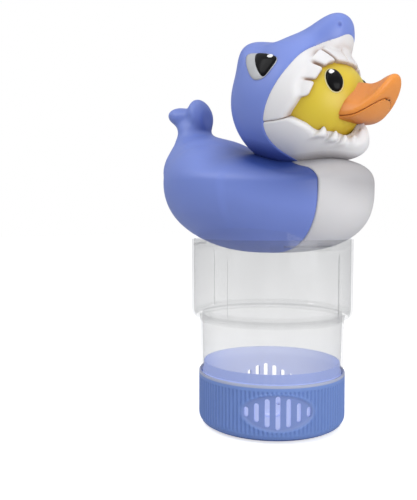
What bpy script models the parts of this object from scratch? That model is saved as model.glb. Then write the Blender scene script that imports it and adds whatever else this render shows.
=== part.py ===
"""Floating chlorine dispenser: a duck float in a shark hood over a telescoping tablet canister.

The object stands on its base. +Z is up, the canister axis is the Z axis, the duck looks towards -Y.
All lengths are in metres.
"""
import math

import bmesh
import bpy
from mathutils import Vector

MM = 0.001
NAME = "floating_chlorine_dispenser"
GAP = 0.4 * MM
ROOT = 0.7 * MM

# Regulator cup: the blue ribbed ring at the bottom.
CUP_R = 48.5 * MM
CUP_WALL = 1.7 * MM
CUP_H = 36.0 * MM
CUP_FLOOR = 2.0 * MM
CUP_CORNER = 5.0 * MM
CUP_RIBS = 48
RIB_DEPTH = 0.35 * MM
RIB_LOW = 9.0 * MM
RIB_HIGH = 31.5 * MM
WINDOW_HALF_W = 23.0 * MM
WINDOW_HALF_H = 11.4 * MM
WINDOW_Z = 19.2 * MM
WINDOW_DEEP = 0.75 * MM
WINDOW_AZ = 219.0
SLOT_COUNT = 7
SLOT_PITCH = 7.9
SLOT_W = 3.0 * MM
SLOT_HALF_H = (10.3 * MM, 8.7 * MM, 5.8 * MM, 3.1 * MM)

# Vent basket: the slotted cup fixed to the lower sleeve, inside the regulator cup.
BASKET_R = 46.2 * MM
BASKET_IN_R = 44.2 * MM
SPIGOT_R = 45.2 * MM
BASKET_Z = 2.4 * MM
BASKET_FLOOR = 2.0 * MM
BASKET_STEP_Z = 36.0 * MM
BASKET_TOP = 42.0 * MM

# Floor vents and the pivot in both floors.
FLOOR_VENTS = 8
VENT_IN = 24.0 * MM
VENT_OUT = 33.0 * MM
VENT_W = 3.0 * MM
PIN_R = 2.95 * MM
PIN_HOLE_R = 3.0 * MM
PIN_HEAD_R = 6.0 * MM
STOP_PEG_R = 1.8 * MM
STOP_RADIUS = 16.0 * MM
STOP_SLOT_HALF = 2.3 * MM
REGULATOR_TURN = 60.0

# Lower sleeve: the clear tube that telescopes.
LOWER_BOT_R = 47.2 * MM
LOWER_TOP_R = 47.9 * MM
LOWER_WALL = 1.5 * MM
LOWER_Z = 36.4 * MM
FLANGE_Z = 75.0 * MM
LOWER_TOP = 77.0 * MM
FLANGE_R = 51.4 * MM

# Upper sleeve: the clear tube under the float.
UPPER_R = 53.4 * MM
UPPER_WALL = 1.5 * MM
UPPER_Z = 70.0 * MM
UPPER_TOP = 123.5 * MM
SHOULDER = 4.4 * MM
LIP_R = 48.4 * MM
LIP_T = 1.6 * MM
GUIDE_RIBS = 4
GUIDE_W = 4.6 * MM
GUIDE_DEPTH = 1.4 * MM
GUIDE_TOP = 112.0 * MM
NOTCH_W = 5.6 * MM
TAB_IN_R = 49.4 * MM
TAB_Z = 118.9 * MM
TAB_T = 1.4 * MM
TAB_SPAN = 36.0
BAYONETS = 3

# Collar: the ring under the float that the upper sleeve hooks on.
COLLAR_IN_R = 42.0 * MM
COLLAR_OUT_R = 48.9 * MM
COLLAR_Z = 116.4 * MM
LUG_R = 51.4 * MM
LUG_Z = 116.4 * MM
LUG_T = 1.9 * MM
STOP_SPAN = 7.0
STOP_AFTER = 2.0

# Float body.
BODY_A = 60.0 * MM
BODY_B = 74.8 * MM
BODY_YC = 5.2 * MM
BODY_Z = 155.5 * MM
BODY_DROP = 40.5 * MM
DROP_POWER = 2.4
RISE_POWER = 2.2
RISE_FRONT = 20.0 * MM
RISE_REAR = 38.0 * MM
DOME_R = 70.6 * MM
DRAIN_R = 3.0 * MM
SHELL_T = 2.0 * MM
SEAM_AZ = 33.0
SEAM_HALF_GAP = 0.22 * MM

# Upturned tail: rows of height, middle, half width and half length, in millimetres.
TAIL_SECTIONS = (
    (160, 48, 30, 27),
    (168, 53, 34, 26.5),
    (176, 58, 31, 22.5),
    (184, 62, 25, 18.5),
    (191, 65, 19, 14.5),
    (198, 67.5, 14.5, 11),
    (204, 69.5, 13.5, 11),
    (209, 71.5, 12.5, 14),
    (213.5, 71.5, 10.5, 18),
    (216.5, 66, 9.5, 11),
    (220, 63, 7.5, 6.5),
    (222.3, 62.5, 4.0, 3.0),
)

# Head: a ball with a snout and a jutting lower jaw, measured from its own centre.
HEAD_C = Vector((0.0, -22.0, 212.0)) * MM
HEAD_R = Vector((45.0, 45.0, 43.0)) * MM
SNOUT_OUT = 15.0 * MM
SNOUT_ALPHA = 59.0
SNOUT_SPREAD = 17.0
SNOUT_TURN = 44.0
JAW_OUT = 13.0 * MM
JAW_ALPHA = 38.0
JAW_SPREAD = 19.0
JAW_TURN = 30.0
BROW_OUT = 5.0 * MM
BROW_ALPHA = 103.0
BROW_SPREAD = 22.0
BROW_TURN = 40.0
BROW_TURN_SPREAD = 16.0
HOOD_POLE = 166.0
HEAD_T = 2.2 * MM
HEAD_CLEAR = 0.6 * MM
HOOD_EDGE = ((0, 47), (38, 53), (60, 62), (85, 76), (107, 89), (128, 92), (150, 84), (180, 76))
UPPER_RIM = ((0, 34), (30, 35), (58, 45), (75, 52), (93, 55), (104, 62), (112, 70))
LOWER_RIM = ((118, 68), (125, 62), (133, 57), (147, 49), (160, 41), (170, 34), (180, 30))
UPPER_TEETH = 11
LOWER_TEETH = 11
CORNER_BETA = 113.0
UPPER_TOOTH = 9.0
LOWER_TOOTH = 8.0
JAW_GAP = 1.8 * GAP

# Duck head and bill inside the hood.
DUCK_C = Vector((0.0, -27.0, 206.5)) * MM
DUCK_R = Vector((36.0, 38.0, 33.5)) * MM
BILL_BASE_Y = -50.0 * MM
BILL_TIP_Y = -89.5 * MM
BILL_ROOT_Z = 194.0 * MM
BILL_RISE = 14.0 * MM
BILL_HALF_W = (18.0 * MM, 20.5 * MM)
BILL_TALL = (7.0 * MM, 22.0 * MM)
BILL_THIN = (3.5 * MM, 13.0 * MM)
BILL_GAP = 0.2 * MM

# Eyes: outlines as (alpha, beta) pairs on the head.
DUCK_EYE_AT = (37.0, 59.0)
DUCK_EYE_HALF = (8.5, 19.0)
DUCK_EYE_LEAN = 0.45
SHARK_EYE = ((115.5, 50), (98, 57), (80, 64), (78.5, 69), (83, 77), (89, 83), (95, 84), (104, 76), (113, 62))
SHARK_PUPIL = ((99, 59), (90, 62), (81.5, 65.5), (81, 69), (85, 76), (90, 80), (95, 76), (99, 68))

BLUE = (0.162, 0.235, 0.620, 1.0)
WHITE = (0.74, 0.74, 0.75, 1.0)
YELLOW = (0.70, 0.50, 0.05, 1.0)
ORANGE = (0.87, 0.32, 0.05, 1.0)
BLACK = (0.012, 0.012, 0.014, 1.0)
CLEAR = (0.80, 0.82, 0.84, 1.0)
BLUE_CLEAR = (0.13, 0.24, 0.60, 1.0)
STEEL = (0.60, 0.60, 0.62, 1.0)

for old in list(bpy.data.objects):
    bpy.data.objects.remove(old, do_unlink=True)


def collection(name):
    made = bpy.data.collections.new(name)
    bpy.context.scene.collection.children.link(made)
    return made


PART = collection(NAME)
CUTTERS = collection("cutters")


def material(name, colour, roughness, metallic=0.0, alpha=1.0):
    mat = bpy.data.materials.new(name)
    mat.use_nodes = True
    shader = mat.node_tree.nodes["Principled BSDF"]
    shader.inputs["Base Color"].default_value = colour
    shader.inputs["Roughness"].default_value = roughness
    shader.inputs["Metallic"].default_value = metallic
    shader.inputs["Alpha"].default_value = alpha
    mat.diffuse_color = colour
    return mat


def new_object(name, mesh, where=PART):
    mesh.update()
    obj = bpy.data.objects.new(name, mesh)
    where.objects.link(obj)
    return obj


def mesh_from(name, verts, faces):
    mesh = bpy.data.meshes.new(name)
    mesh.from_pydata([tuple(v) for v in verts], [], faces)
    bm = bmesh.new()
    bm.from_mesh(mesh)
    bmesh.ops.recalc_face_normals(bm, faces=bm.faces)
    bm.to_mesh(mesh)
    bm.free()
    return mesh


def smooth(obj):
    for face in obj.data.polygons:
        face.use_smooth = True


def paint(obj, name, colour, roughness, metallic=0.0, alpha=1.0):
    obj.data.materials.append(material(name, colour, roughness, metallic, alpha))


def as_cutter(obj):
    obj.hide_render = True
    obj.display_type = "WIRE"
    return obj


def boolean(obj, other, operation="DIFFERENCE"):
    mod = obj.modifiers.new("cut_" + other.name, "BOOLEAN")
    mod.operation = operation
    mod.solver = "EXACT"
    mod.object = other
    return mod


def polar(radius, degrees, z):
    a = math.radians(degrees)
    return Vector((radius * math.cos(a), radius * math.sin(a), z))


def lathe(name, profile, steps):
    """Spins a closed profile of (radius, height) pairs about Z."""
    verts = [(r, 0.0, z) for r, z in profile]
    edges = [(i, (i + 1) % len(verts)) for i in range(len(verts))]
    mesh = bpy.data.meshes.new(name)
    mesh.from_pydata(verts, edges, [])
    obj = new_object(name, mesh)
    mod = obj.modifiers.new("spin", "SCREW")
    mod.axis = "Z"
    mod.angle = 2 * math.pi
    mod.steps = steps
    mod.render_steps = steps
    mod.use_merge_vertices = True
    mod.merge_threshold = 0.00001
    mod.use_normal_calculate = True
    return obj


def bend_block(name, r_in, r_out, az, half_deg, z_low, z_high, steps):
    """A closed block between two radii, two heights and two angles."""
    verts = []
    for i in range(steps + 1):
        a = az - half_deg + 2 * half_deg * i / steps
        verts += [polar(r_in, a, z_low), polar(r_out, a, z_low)]
        verts += [polar(r_out, a, z_high), polar(r_in, a, z_high)]
    faces = [(0, 1, 2, 3), tuple(4 * steps + k for k in (3, 2, 1, 0))]
    for i in range(steps):
        b = 4 * i
        for k in range(4):
            n = (k + 1) % 4
            faces.append((b + k, b + 4 + k, b + 4 + n, b + n))
    return new_object(name, mesh_from(name, verts, faces), CUTTERS)


def join_meshes(name, parts):
    """One cutter made of several closed blocks that stay clear of each other."""
    bm = bmesh.new()
    for part in parts:
        bm.from_mesh(part.data)
        bpy.data.objects.remove(part, do_unlink=True)
    mesh = bpy.data.meshes.new(name)
    bm.to_mesh(mesh)
    bm.free()
    return as_cutter(new_object(name, mesh, CUTTERS))


def half_deg_of(width, radius):
    return math.degrees(math.asin(0.5 * width / radius))


def wall_slots(name, az, r_in, r_out):
    """Upright vent slots through a round wall, taller towards the middle."""
    blocks = []
    reach = SLOT_COUNT // 2
    for k in range(-reach, reach + 1):
        half_h = SLOT_HALF_H[abs(k)]
        half = half_deg_of(SLOT_W, r_out)
        label = name + "_" + str(k + reach)
        low = WINDOW_Z - half_h
        blocks.append(bend_block(label, r_in, r_out, az + k * SLOT_PITCH, half, low, WINDOW_Z + half_h, 1))
    return blocks


def floor_vents(name, z_low, z_high):
    blocks = []
    for k in range(FLOOR_VENTS):
        az = 22.5 + 360.0 * k / FLOOR_VENTS
        half = half_deg_of(VENT_W, VENT_OUT)
        blocks.append(bend_block(name + "_" + str(k), VENT_IN, VENT_OUT, az, half, z_low, z_high, 1))
    return blocks


def cylinder(name, radius, z_low, z_high, centre, steps):
    bm = bmesh.new()
    tall = z_high - z_low
    bmesh.ops.create_cone(bm, cap_ends=True, segments=steps, radius1=radius, radius2=radius, depth=tall)
    bmesh.ops.translate(bm, verts=bm.verts, vec=(centre[0], centre[1], 0.5 * (z_low + z_high)))
    mesh = bpy.data.meshes.new(name)
    bm.to_mesh(mesh)
    bm.free()
    return new_object(name, mesh, CUTTERS)


def regulator_cup():
    """The ribbed dial. Two slotted windows sit opposite each other."""
    steps = 2 * CUP_RIBS
    inner = CUP_R - CUP_WALL
    c = CUP_CORNER
    outer = [(CUP_R, CUP_H - 0.5 * MM), (CUP_R, RIB_HIGH), (CUP_R, RIB_LOW), (CUP_R, c)]
    outer += [(CUP_R - c * (1 - math.cos(a)), c - c * math.sin(a)) for a in (0.55, 1.1)]
    floor = [(CUP_R - c, 0.0), (PIN_HOLE_R, 0.0), (PIN_HOLE_R, CUP_FLOOR)]
    wall = [(inner - 2.5 * MM, CUP_FLOOR), (inner, CUP_FLOOR + 3.0 * MM), (inner, CUP_H)]
    wall += [(CUP_R - 0.5 * MM, CUP_H)]
    profile = outer + floor + wall
    verts = []
    for i in range(steps):
        for r, z in profile:
            groove = i % 2 == 1 and abs(r - CUP_R) < 1e-7 and RIB_LOW <= z <= RIB_HIGH
            verts.append(polar(r - (RIB_DEPTH if groove else 0.0), 360.0 * i / steps, z))
    n = len(profile)
    faces = []
    for i in range(steps):
        j = (i + 1) % steps
        for k in range(n):
            m = (k + 1) % n
            faces.append((i * n + k, j * n + k, j * n + m, i * n + m))
    obj = new_object("regulator_cup", mesh_from("regulator_cup", verts, faces))
    blocks = []
    for side in (0, 1):
        az = WINDOW_AZ + 180.0 * side
        blocks += wall_slots("cup_slots_" + str(side), az, inner - 1.0 * MM, CUP_R + 1.0 * MM)
    slots = join_meshes("cup_slot_cutter", blocks)
    for side in (0, 1):
        boolean(obj, window_recess("cup_window_" + str(side), WINDOW_AZ + 180.0 * side))
    boolean(obj, slots)
    vents = floor_vents("cup_vent", -1.0 * MM, CUP_FLOOR + 1.0 * MM)
    boolean(obj, join_meshes("cup_vent_cutter", vents))
    boolean(obj, arc_slot("cup_stop_slot"))
    paint(obj, "translucent_blue_plastic", BLUE_CLEAR, 0.28, alpha=0.85)
    return obj


def window_recess(name, az):
    """A shallow oval dish that takes the ribs away around the slots."""
    steps = 28
    verts = []
    for radius in (CUP_R - WINDOW_DEEP, CUP_R + 1.5 * MM):
        for i in range(steps):
            t = 2 * math.pi * i / steps
            turn = math.degrees(WINDOW_HALF_W * math.cos(t) / CUP_R)
            verts.append(polar(radius, az + turn, WINDOW_Z + WINDOW_HALF_H * math.sin(t)))
    verts.append(polar(CUP_R - WINDOW_DEEP, az, WINDOW_Z))
    verts.append(polar(CUP_R + 3.0 * MM, az, WINDOW_Z))
    faces = []
    for i in range(steps):
        j = (i + 1) % steps
        faces.append((i, j, steps + j, steps + i))
        faces.append((j, i, 2 * steps))
        faces.append((steps + i, steps + j, 2 * steps + 1))
    return as_cutter(new_object(name, mesh_from(name, verts, faces), CUTTERS))


def arc_slot(name):
    """The curved slot in the cup's floor that the stop peg runs in."""
    margin = math.degrees(STOP_SLOT_HALF / STOP_RADIUS)
    middle = -0.5 * REGULATOR_TURN
    half = 0.5 * REGULATOR_TURN + margin
    low = STOP_RADIUS - STOP_SLOT_HALF
    high = STOP_RADIUS + STOP_SLOT_HALF
    block = bend_block(name, low, high, middle, half, -1.0 * MM, CUP_FLOOR + 1.0 * MM, 10)
    return as_cutter(block)


def vent_basket():
    steps = 60
    floor_z = BASKET_Z + BASKET_FLOOR
    profile = [
        (SPIGOT_R, BASKET_TOP),
        (SPIGOT_R, BASKET_STEP_Z),
        (BASKET_R, BASKET_STEP_Z),
        (BASKET_R, BASKET_Z + 4.0 * MM),
        (BASKET_R - 3.2 * MM, BASKET_Z),
        (PIN_HOLE_R, BASKET_Z),
        (PIN_HOLE_R, floor_z),
        (BASKET_IN_R - 2.0 * MM, floor_z),
        (BASKET_IN_R, floor_z + 2.5 * MM),
        (BASKET_IN_R, BASKET_TOP),
    ]
    obj = lathe("vent_basket", profile, steps)
    blocks = []
    for side in (0, 1):
        az = WINDOW_AZ + 180.0 * side
        blocks += wall_slots("basket_slots_" + str(side), az, BASKET_IN_R - 1.0 * MM, BASKET_R + 0.4 * MM)
    boolean(obj, join_meshes("basket_slot_cutter", blocks))
    vents = floor_vents("basket_vent", BASKET_Z - 1.0 * MM, floor_z + 1.0 * MM)
    boolean(obj, join_meshes("basket_vent_cutter", vents))
    peg = cylinder("stop_peg", STOP_PEG_R, 0.7 * MM, floor_z - 0.5 * MM, (STOP_RADIUS, 0.0), 16)
    boolean(obj, as_cutter(peg), "UNION")
    paint(obj, "pale_blue_plastic", (0.45, 0.55, 0.80, 1.0), 0.3, alpha=0.8)
    return obj


def pivot_pin():
    """Holds the regulator cup to the basket and lets it turn."""
    floor_z = BASKET_Z + BASKET_FLOOR
    top = floor_z + 0.05 * MM
    profile = [
        (0.0, top + 2.0 * MM),
        (PIN_HEAD_R - 1.2 * MM, top + 2.0 * MM),
        (PIN_HEAD_R, top + 1.0 * MM),
        (PIN_HEAD_R, top),
        (PIN_R, top),
        (PIN_R, 0.6 * MM),
        (0.0, 0.6 * MM),
    ]
    obj = spun_solid("pivot_pin", profile, 32)
    paint(obj, "white_pin_plastic", (0.8, 0.8, 0.8, 1.0), 0.4)
    return obj


def spun_solid(name, profile, steps):
    """A turned solid whose profile starts and ends on the axis."""
    verts = [(0.0, 0.0, profile[0][1])]
    for i in range(steps):
        for r, z in profile[1:-1]:
            verts.append(polar(r, 360.0 * i / steps, z))
    verts.append((0.0, 0.0, profile[-1][1]))
    n = len(profile) - 2
    last = len(verts) - 1
    faces = []
    for i in range(steps):
        j = (i + 1) % steps
        faces.append((0, 1 + i * n, 1 + j * n))
        faces.append((last, j * n + n, i * n + n))
        for k in range(n - 1):
            faces.append((1 + i * n + k, 1 + i * n + k + 1, 1 + j * n + k + 1, 1 + j * n + k))
    return new_object(name, mesh_from(name, verts, faces))


def lower_sleeve():
    steps = 60
    top_in = LOWER_TOP_R - LOWER_WALL
    bottom_in = LOWER_BOT_R - LOWER_WALL
    profile = [
        (FLANGE_R, LOWER_TOP),
        (FLANGE_R, FLANGE_Z),
        (LOWER_TOP_R, FLANGE_Z),
        (LOWER_BOT_R, LOWER_Z),
        (bottom_in, LOWER_Z),
        (top_in, LOWER_TOP),
    ]
    obj = lathe("lower_sleeve", profile, steps)
    blocks = []
    for k in range(GUIDE_RIBS):
        half = half_deg_of(NOTCH_W, FLANGE_R)
        r_in = LOWER_TOP_R + 0.6 * MM
        z_low = FLANGE_Z - 1.0 * MM
        z_high = LOWER_TOP + 1.0 * MM
        blocks.append(bend_block("notch_" + str(k), r_in, FLANGE_R + MM, 90.0 * k, half, z_low, z_high, 1))
    boolean(obj, join_meshes("flange_notch_cutter", blocks))
    paint(obj, "clear_plastic_lower", CLEAR, 0.12, alpha=0.35)
    return obj


def upper_sleeve():
    steps = 60
    inner = UPPER_R - UPPER_WALL
    s = SHOULDER
    corner = [(UPPER_R - s * (1 - math.cos(a)), UPPER_Z + s - s * math.sin(a)) for a in (0.5, 1.0)]
    profile = [(UPPER_R, UPPER_TOP), (UPPER_R, UPPER_Z + s)] + corner
    profile += [(UPPER_R - s, UPPER_Z), (LIP_R, UPPER_Z), (LIP_R, UPPER_Z + LIP_T)]
    profile += [(inner - 2.2 * MM, UPPER_Z + LIP_T), (inner, UPPER_Z + s), (inner, UPPER_TOP)]
    obj = lathe("upper_sleeve", profile, steps)
    rooted = inner + ROOT
    low = UPPER_Z + 0.8 * MM
    half = half_deg_of(GUIDE_W, inner)
    for k in range(GUIDE_RIBS):
        rib = bend_block("guide_" + str(k), inner - GUIDE_DEPTH, rooted, 90.0 * k, half, low, GUIDE_TOP, 2)
        boolean(obj, as_cutter(rib), "UNION")
    half = 0.5 * TAB_SPAN
    for k in range(BAYONETS):
        tab = bend_block("tab_" + str(k), TAB_IN_R, rooted, 120.0 * k, half, TAB_Z, TAB_Z + TAB_T, 8)
        boolean(obj, as_cutter(tab), "UNION")
    paint(obj, "clear_plastic_upper", CLEAR, 0.12, alpha=0.35)
    return obj


def dome_height(radius):
    """Height of the float's underside at a distance from the axis."""
    f = min(radius / DOME_R, 1.0) ** DROP_POWER
    return BODY_Z - BODY_DROP * (1.0 - f) ** (1.0 / DROP_POWER)


def float_collar():
    steps = 48
    clear = 0.5 * MM
    outer_top = dome_height(COLLAR_OUT_R) - clear
    middle = 0.5 * (COLLAR_IN_R + COLLAR_OUT_R)
    profile = [
        (COLLAR_OUT_R, outer_top),
        (COLLAR_OUT_R, COLLAR_Z),
        (COLLAR_IN_R, COLLAR_Z),
        (COLLAR_IN_R, dome_height(COLLAR_IN_R) - clear),
        (middle, dome_height(middle) - clear),
    ]
    obj = lathe("float_collar", profile, steps)
    rooted = COLLAR_OUT_R - MM
    half = 0.5 * TAB_SPAN
    half_stop = 0.5 * STOP_SPAN
    low = LUG_Z + 0.1 * MM
    stop_low = LUG_Z + 0.2 * MM
    for k in range(BAYONETS):
        az = 120.0 * k
        lug = bend_block("lug_" + str(k), rooted, LUG_R, az, half, low, LUG_Z + LUG_T, 8)
        boolean(obj, as_cutter(lug), "UNION")
        at = az - half - STOP_AFTER - half_stop
        stop = bend_block("stop_" + str(k), rooted, LUG_R, at, half_stop, stop_low, TAB_Z + TAB_T, 3)
        boolean(obj, as_cutter(stop), "UNION")
    paint(obj, "clear_plastic_collar", CLEAR, 0.15, alpha=0.5)
    return obj


def smoothstep(t):
    t = min(max(t, 0.0), 1.0)
    return t * t * (3.0 - 2.0 * t)


def body_radius(psi, f):
    """Distance from the canister axis to the body's oval section scaled by f, at an angle from the front."""
    a = math.radians(psi)
    dx = -math.sin(a)
    dy = -math.cos(a)
    ax = BODY_A * f
    by = BODY_B * f
    centre = BODY_YC * f
    p = (dx / ax) ** 2 + (dy / by) ** 2
    q = -2.0 * dy * centre / by**2
    c = (centre / by) ** 2 - 1.0
    return (-q + math.sqrt(q * q - 4.0 * p * c)) / (2.0 * p)


def body_point(psi, t):
    """A point on the body; t runs from 0 at the underside to 1 at the top."""
    a = math.radians(180.0 * t)
    low = t < 0.5
    power = DROP_POWER if low else RISE_POWER
    f = max(abs(math.sin(a)), 1e-6) ** (2.0 / power)
    h = abs(math.cos(a)) ** (2.0 / power)
    r = body_radius(psi, f)
    if low and r < DOME_R:
        round_share = smoothstep((DOME_R * 0.95 - r) / (DOME_R * 0.3))
        h = h * (1 - round_share) + round_share * (1.0 - (r / DOME_R) ** DROP_POWER) ** (1.0 / DROP_POWER)
    x = -r * math.sin(math.radians(psi))
    y = -r * math.cos(math.radians(psi))
    rise = RISE_FRONT + (RISE_REAR - RISE_FRONT) * smoothstep((y + 15.0 * MM) / (60.0 * MM))
    z = BODY_Z - BODY_DROP * h if low else BODY_Z + rise * h
    return Vector((x, y, z))


BODY_ROWS = (0.012, 0.08, 0.16, 0.24, 0.32, 0.41, 0.5, 0.59, 0.67, 0.75, 0.84, 0.94)


def body_patch(name, psi_from, psi_to, columns, cut_by):
    """One colour of the body: an open sector of the skin, given thickness, with the neck cut away."""
    verts = []
    for t in BODY_ROWS:
        for i in range(columns + 1):
            psi = psi_from + (psi_to - psi_from) * i / columns
            p = body_point(psi, t)
            r = math.hypot(p.x, p.y)
            if t == BODY_ROWS[0]:
                p = Vector((p.x * DRAIN_R / r, p.y * DRAIN_R / r, dome_height(DRAIN_R)))
                r = DRAIN_R
            side = 1.0 if i == 0 else (-1.0 if i == columns else 0.0)
            turn = side * math.asin(SEAM_HALF_GAP / r)
            c = math.cos(turn)
            s = math.sin(turn)
            verts.append(Vector((p.x * c + p.y * s, p.y * c - p.x * s, p.z)))
    n = columns + 1
    faces = []
    for j in range(len(BODY_ROWS) - 1):
        for i in range(columns):
            a = j * n + i
            faces.append((a, a + 1, a + n + 1, a + n))
    mesh = mesh_from(name, verts, faces)
    outward_open(mesh, Vector((0.0, 0.0, BODY_Z)))
    obj = new_object(name, mesh)
    mod = obj.modifiers.new("wall", "SOLIDIFY")
    mod.thickness = SHELL_T
    mod.offset = -1.0
    boolean(obj, cut_by)
    smooth(obj)
    return obj


def outward_open(mesh, centre):
    """Turns an open surface's faces away from a point inside it."""
    score = 0.0
    for face in mesh.polygons:
        score += (face.center - centre).dot(face.normal) * face.area
    if score < 0.0:
        bm = bmesh.new()
        bm.from_mesh(mesh)
        bmesh.ops.reverse_faces(bm, faces=bm.faces)
        bm.to_mesh(mesh)
        bm.free()


def tail():
    """The upturned shark tail: a stalk, a tall front lobe and a lower rear lobe."""
    steps = 16
    verts = []
    for z, yc, a, b in TAIL_SECTIONS:
        for i in range(steps):
            t = 2 * math.pi * i / steps
            verts.append(Vector((a * math.cos(t), yc + b * math.sin(t), z)) * MM)
    faces = [tuple(range(steps)), tuple(range(len(verts) - steps, len(verts)))]
    for j in range(len(TAIL_SECTIONS) - 1):
        for i in range(steps):
            k = (i + 1) % steps
            faces.append((j * steps + i, j * steps + k, (j + 1) * steps + k, (j + 1) * steps + i))
    return as_cutter(new_object("tail_solid", mesh_from("tail_solid", verts, faces), CUTTERS))


def head_direction(alpha, beta):
    """Unit vector: alpha from straight ahead, beta round from the top towards the duck's right."""
    a = math.radians(alpha)
    b = math.radians(beta)
    return Vector((-math.sin(a) * math.sin(b), -math.cos(a), math.sin(a) * math.cos(b)))


def bump(value, centre, width):
    return math.exp(-(((value - centre) / width) ** 2))


def head_point(alpha, beta, offset=0.0):
    d = head_direction(alpha, beta)
    base = 1.0 / math.sqrt(sum((d[k] / HEAD_R[k]) ** 2 for k in range(3)))
    turn = abs((beta + 180.0) % 360.0 - 180.0)
    r = base + offset
    r += SNOUT_OUT * bump(alpha, SNOUT_ALPHA, SNOUT_SPREAD) * math.exp(-((turn / SNOUT_TURN) ** 3))
    r += JAW_OUT * bump(alpha, JAW_ALPHA, JAW_SPREAD) * bump(turn, 180.0, JAW_TURN)
    r += BROW_OUT * bump(alpha, BROW_ALPHA, BROW_SPREAD) * bump(turn, BROW_TURN, BROW_TURN_SPREAD)
    return HEAD_C + d * r


def along(curve, x):
    """Reads a curve given by its corner points."""
    for (x0, y0), (x1, y1) in zip(curve, curve[1:]):
        if x <= x1:
            share = (x - x0) / (x1 - x0)
            return y0 + (y1 - y0) * smoothstep(share) * 0.5 + (y1 - y0) * share * 0.5
    return curve[-1][1]


def folded(beta):
    return abs((beta + 180.0) % 360.0 - 180.0)


def head_envelope():
    """The whole head as one solid, a little larger, used to open the neck."""
    rings = 15
    steps = 36
    verts = [head_point(0.0, 0.0, HEAD_CLEAR)]
    for j in range(1, rings):
        for i in range(steps):
            verts.append(head_point(180.0 * j / rings, 360.0 * i / steps, HEAD_CLEAR))
    verts.append(head_point(180.0, 0.0, HEAD_CLEAR))
    last = len(verts) - 1
    faces = []
    for i in range(steps):
        k = (i + 1) % steps
        faces.append((0, 1 + i, 1 + k))
        faces.append((last, last - steps + k, last - steps + i))
        for j in range(rings - 2):
            a = 1 + j * steps
            faces.append((a + i, a + steps + i, a + steps + k, a + k))
    return as_cutter(new_object("head_envelope", mesh_from("head_envelope", verts, faces), CUTTERS))


def head_patch(name, betas, edge_from, edge_to, rows, closed, pole=False):
    """A piece of the head's skin between two edges, with its wall built towards the head's centre."""
    verts = []
    n = len(betas)
    for depth in (0.0, -HEAD_T):
        for j in range(rows + 1):
            for beta in betas:
                a0 = edge_from(beta)
                a1 = edge_to(beta)
                verts.append(head_point(a0 + (a1 - a0) * j / rows, beta, depth))
        if pole:
            verts.append(head_point(180.0, 0.0, depth))
    layer = len(verts) // 2
    span = n if closed else n - 1
    faces = []
    for i in range(span):
        k = (i + 1) % n
        for s in (0, layer):
            for j in range(rows):
                a = s + j * n
                faces.append((a + i, a + k, a + n + k, a + n + i))
            if pole:
                faces.append((s + rows * n + i, s + rows * n + k, s + layer - 1))
        faces.append((i, k, layer + k, layer + i))
        if not pole:
            a = rows * n
            faces.append((a + i, a + k, layer + a + k, layer + a + i))
    if not closed:
        for i in (0, n - 1):
            for j in range(rows):
                a = j * n + i
                faces.append((a, a + n, layer + a + n, layer + a))
    obj = new_object(name, mesh_from(name, verts, faces))
    smooth(obj)
    return obj


def hood():
    betas = upper_betas() + lower_betas()
    edge = lambda b: along(HOOD_EDGE, folded(b))
    obj = head_patch("hood_shell", betas, edge, lambda b: HOOD_POLE, 7, True, True)
    paint(obj, "blue_vinyl_hood", BLUE, 0.42)
    return obj


def tooth_betas(first, last, teeth):
    """Angles for blocky teeth: a gap's root, then the tooth's two corners."""
    betas = []
    pitch = (last - first) / teeth
    for k in range(teeth):
        start = first + k * pitch
        betas += [start, start + 0.2 * pitch, start + 0.8 * pitch]
    return betas + [last]


def upper_betas():
    return tooth_betas(-CORNER_BETA + 1.0, CORNER_BETA - 1.0, UPPER_TEETH)


def lower_betas():
    first = CORNER_BETA + 1.0
    last = 360.0 - first
    count = 2 * LOWER_TEETH
    return [first + (last - first) * i / count for i in range(count + 1)]


def upper_jaw():
    """White band under the hood's edge with a row of square teeth."""
    betas = upper_betas()
    long_teeth = {}
    for i, beta in enumerate(betas):
        corner = i % 3 != 0 and folded(beta) < 100.0
        long_teeth[beta] = UPPER_TOOTH if corner else 0.0
    gap = math.degrees(JAW_GAP / HEAD_R.x)
    obj = head_patch(
        "upper_jaw",
        betas,
        lambda b: along(UPPER_RIM, min(folded(b), 112.0)) - long_teeth[b],
        lambda b: along(HOOD_EDGE, folded(b)) - gap,
        3,
        False,
    )
    paint(obj, "white_vinyl_upper_jaw", WHITE, 0.45)
    return obj


def lower_jaw():
    """White jaw with a row of pointed teeth along its rim."""
    betas = lower_betas()
    count = len(betas) - 1
    gap = math.degrees(JAW_GAP / HEAD_R.x)
    tips = {}
    for i, beta in enumerate(betas):
        tooth = i % 2 == 1 and 2 < i < count - 2
        tips[beta] = LOWER_TOOTH * min((184.0 - folded(beta)) / 30.0, 1.0) if tooth else 0.0
    obj = head_patch(
        "lower_jaw",
        betas,
        lambda b: along(LOWER_RIM, max(folded(b), 118.0)) - tips[b],
        lambda b: along(HOOD_EDGE, folded(b)) - gap,
        4,
        False,
    )
    paint(obj, "white_vinyl_lower_jaw", WHITE, 0.45)
    return obj


def duck_point(alpha, beta, offset=0.0):
    d = head_direction(alpha, beta)
    base = 1.0 / math.sqrt(sum((d[k] / DUCK_R[k]) ** 2 for k in range(3)))
    return DUCK_C + d * (base + offset)


def ball_cap(name, point, alpha_to, rows, steps):
    """The front of a ball, open at the back."""
    verts = [point(0.0, 0.0)]
    for j in range(1, rows + 1):
        for i in range(steps):
            verts.append(point(alpha_to * j / rows, 360.0 * i / steps))
    faces = []
    for i in range(steps):
        k = (i + 1) % steps
        faces.append((0, 1 + i, 1 + k))
        for j in range(rows - 1):
            a = 1 + j * steps
            faces.append((a + i, a + steps + i, a + steps + k, a + k))
    mesh = mesh_from(name, verts, faces)
    outward_open(mesh, DUCK_C)
    return new_object(name, mesh)


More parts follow.
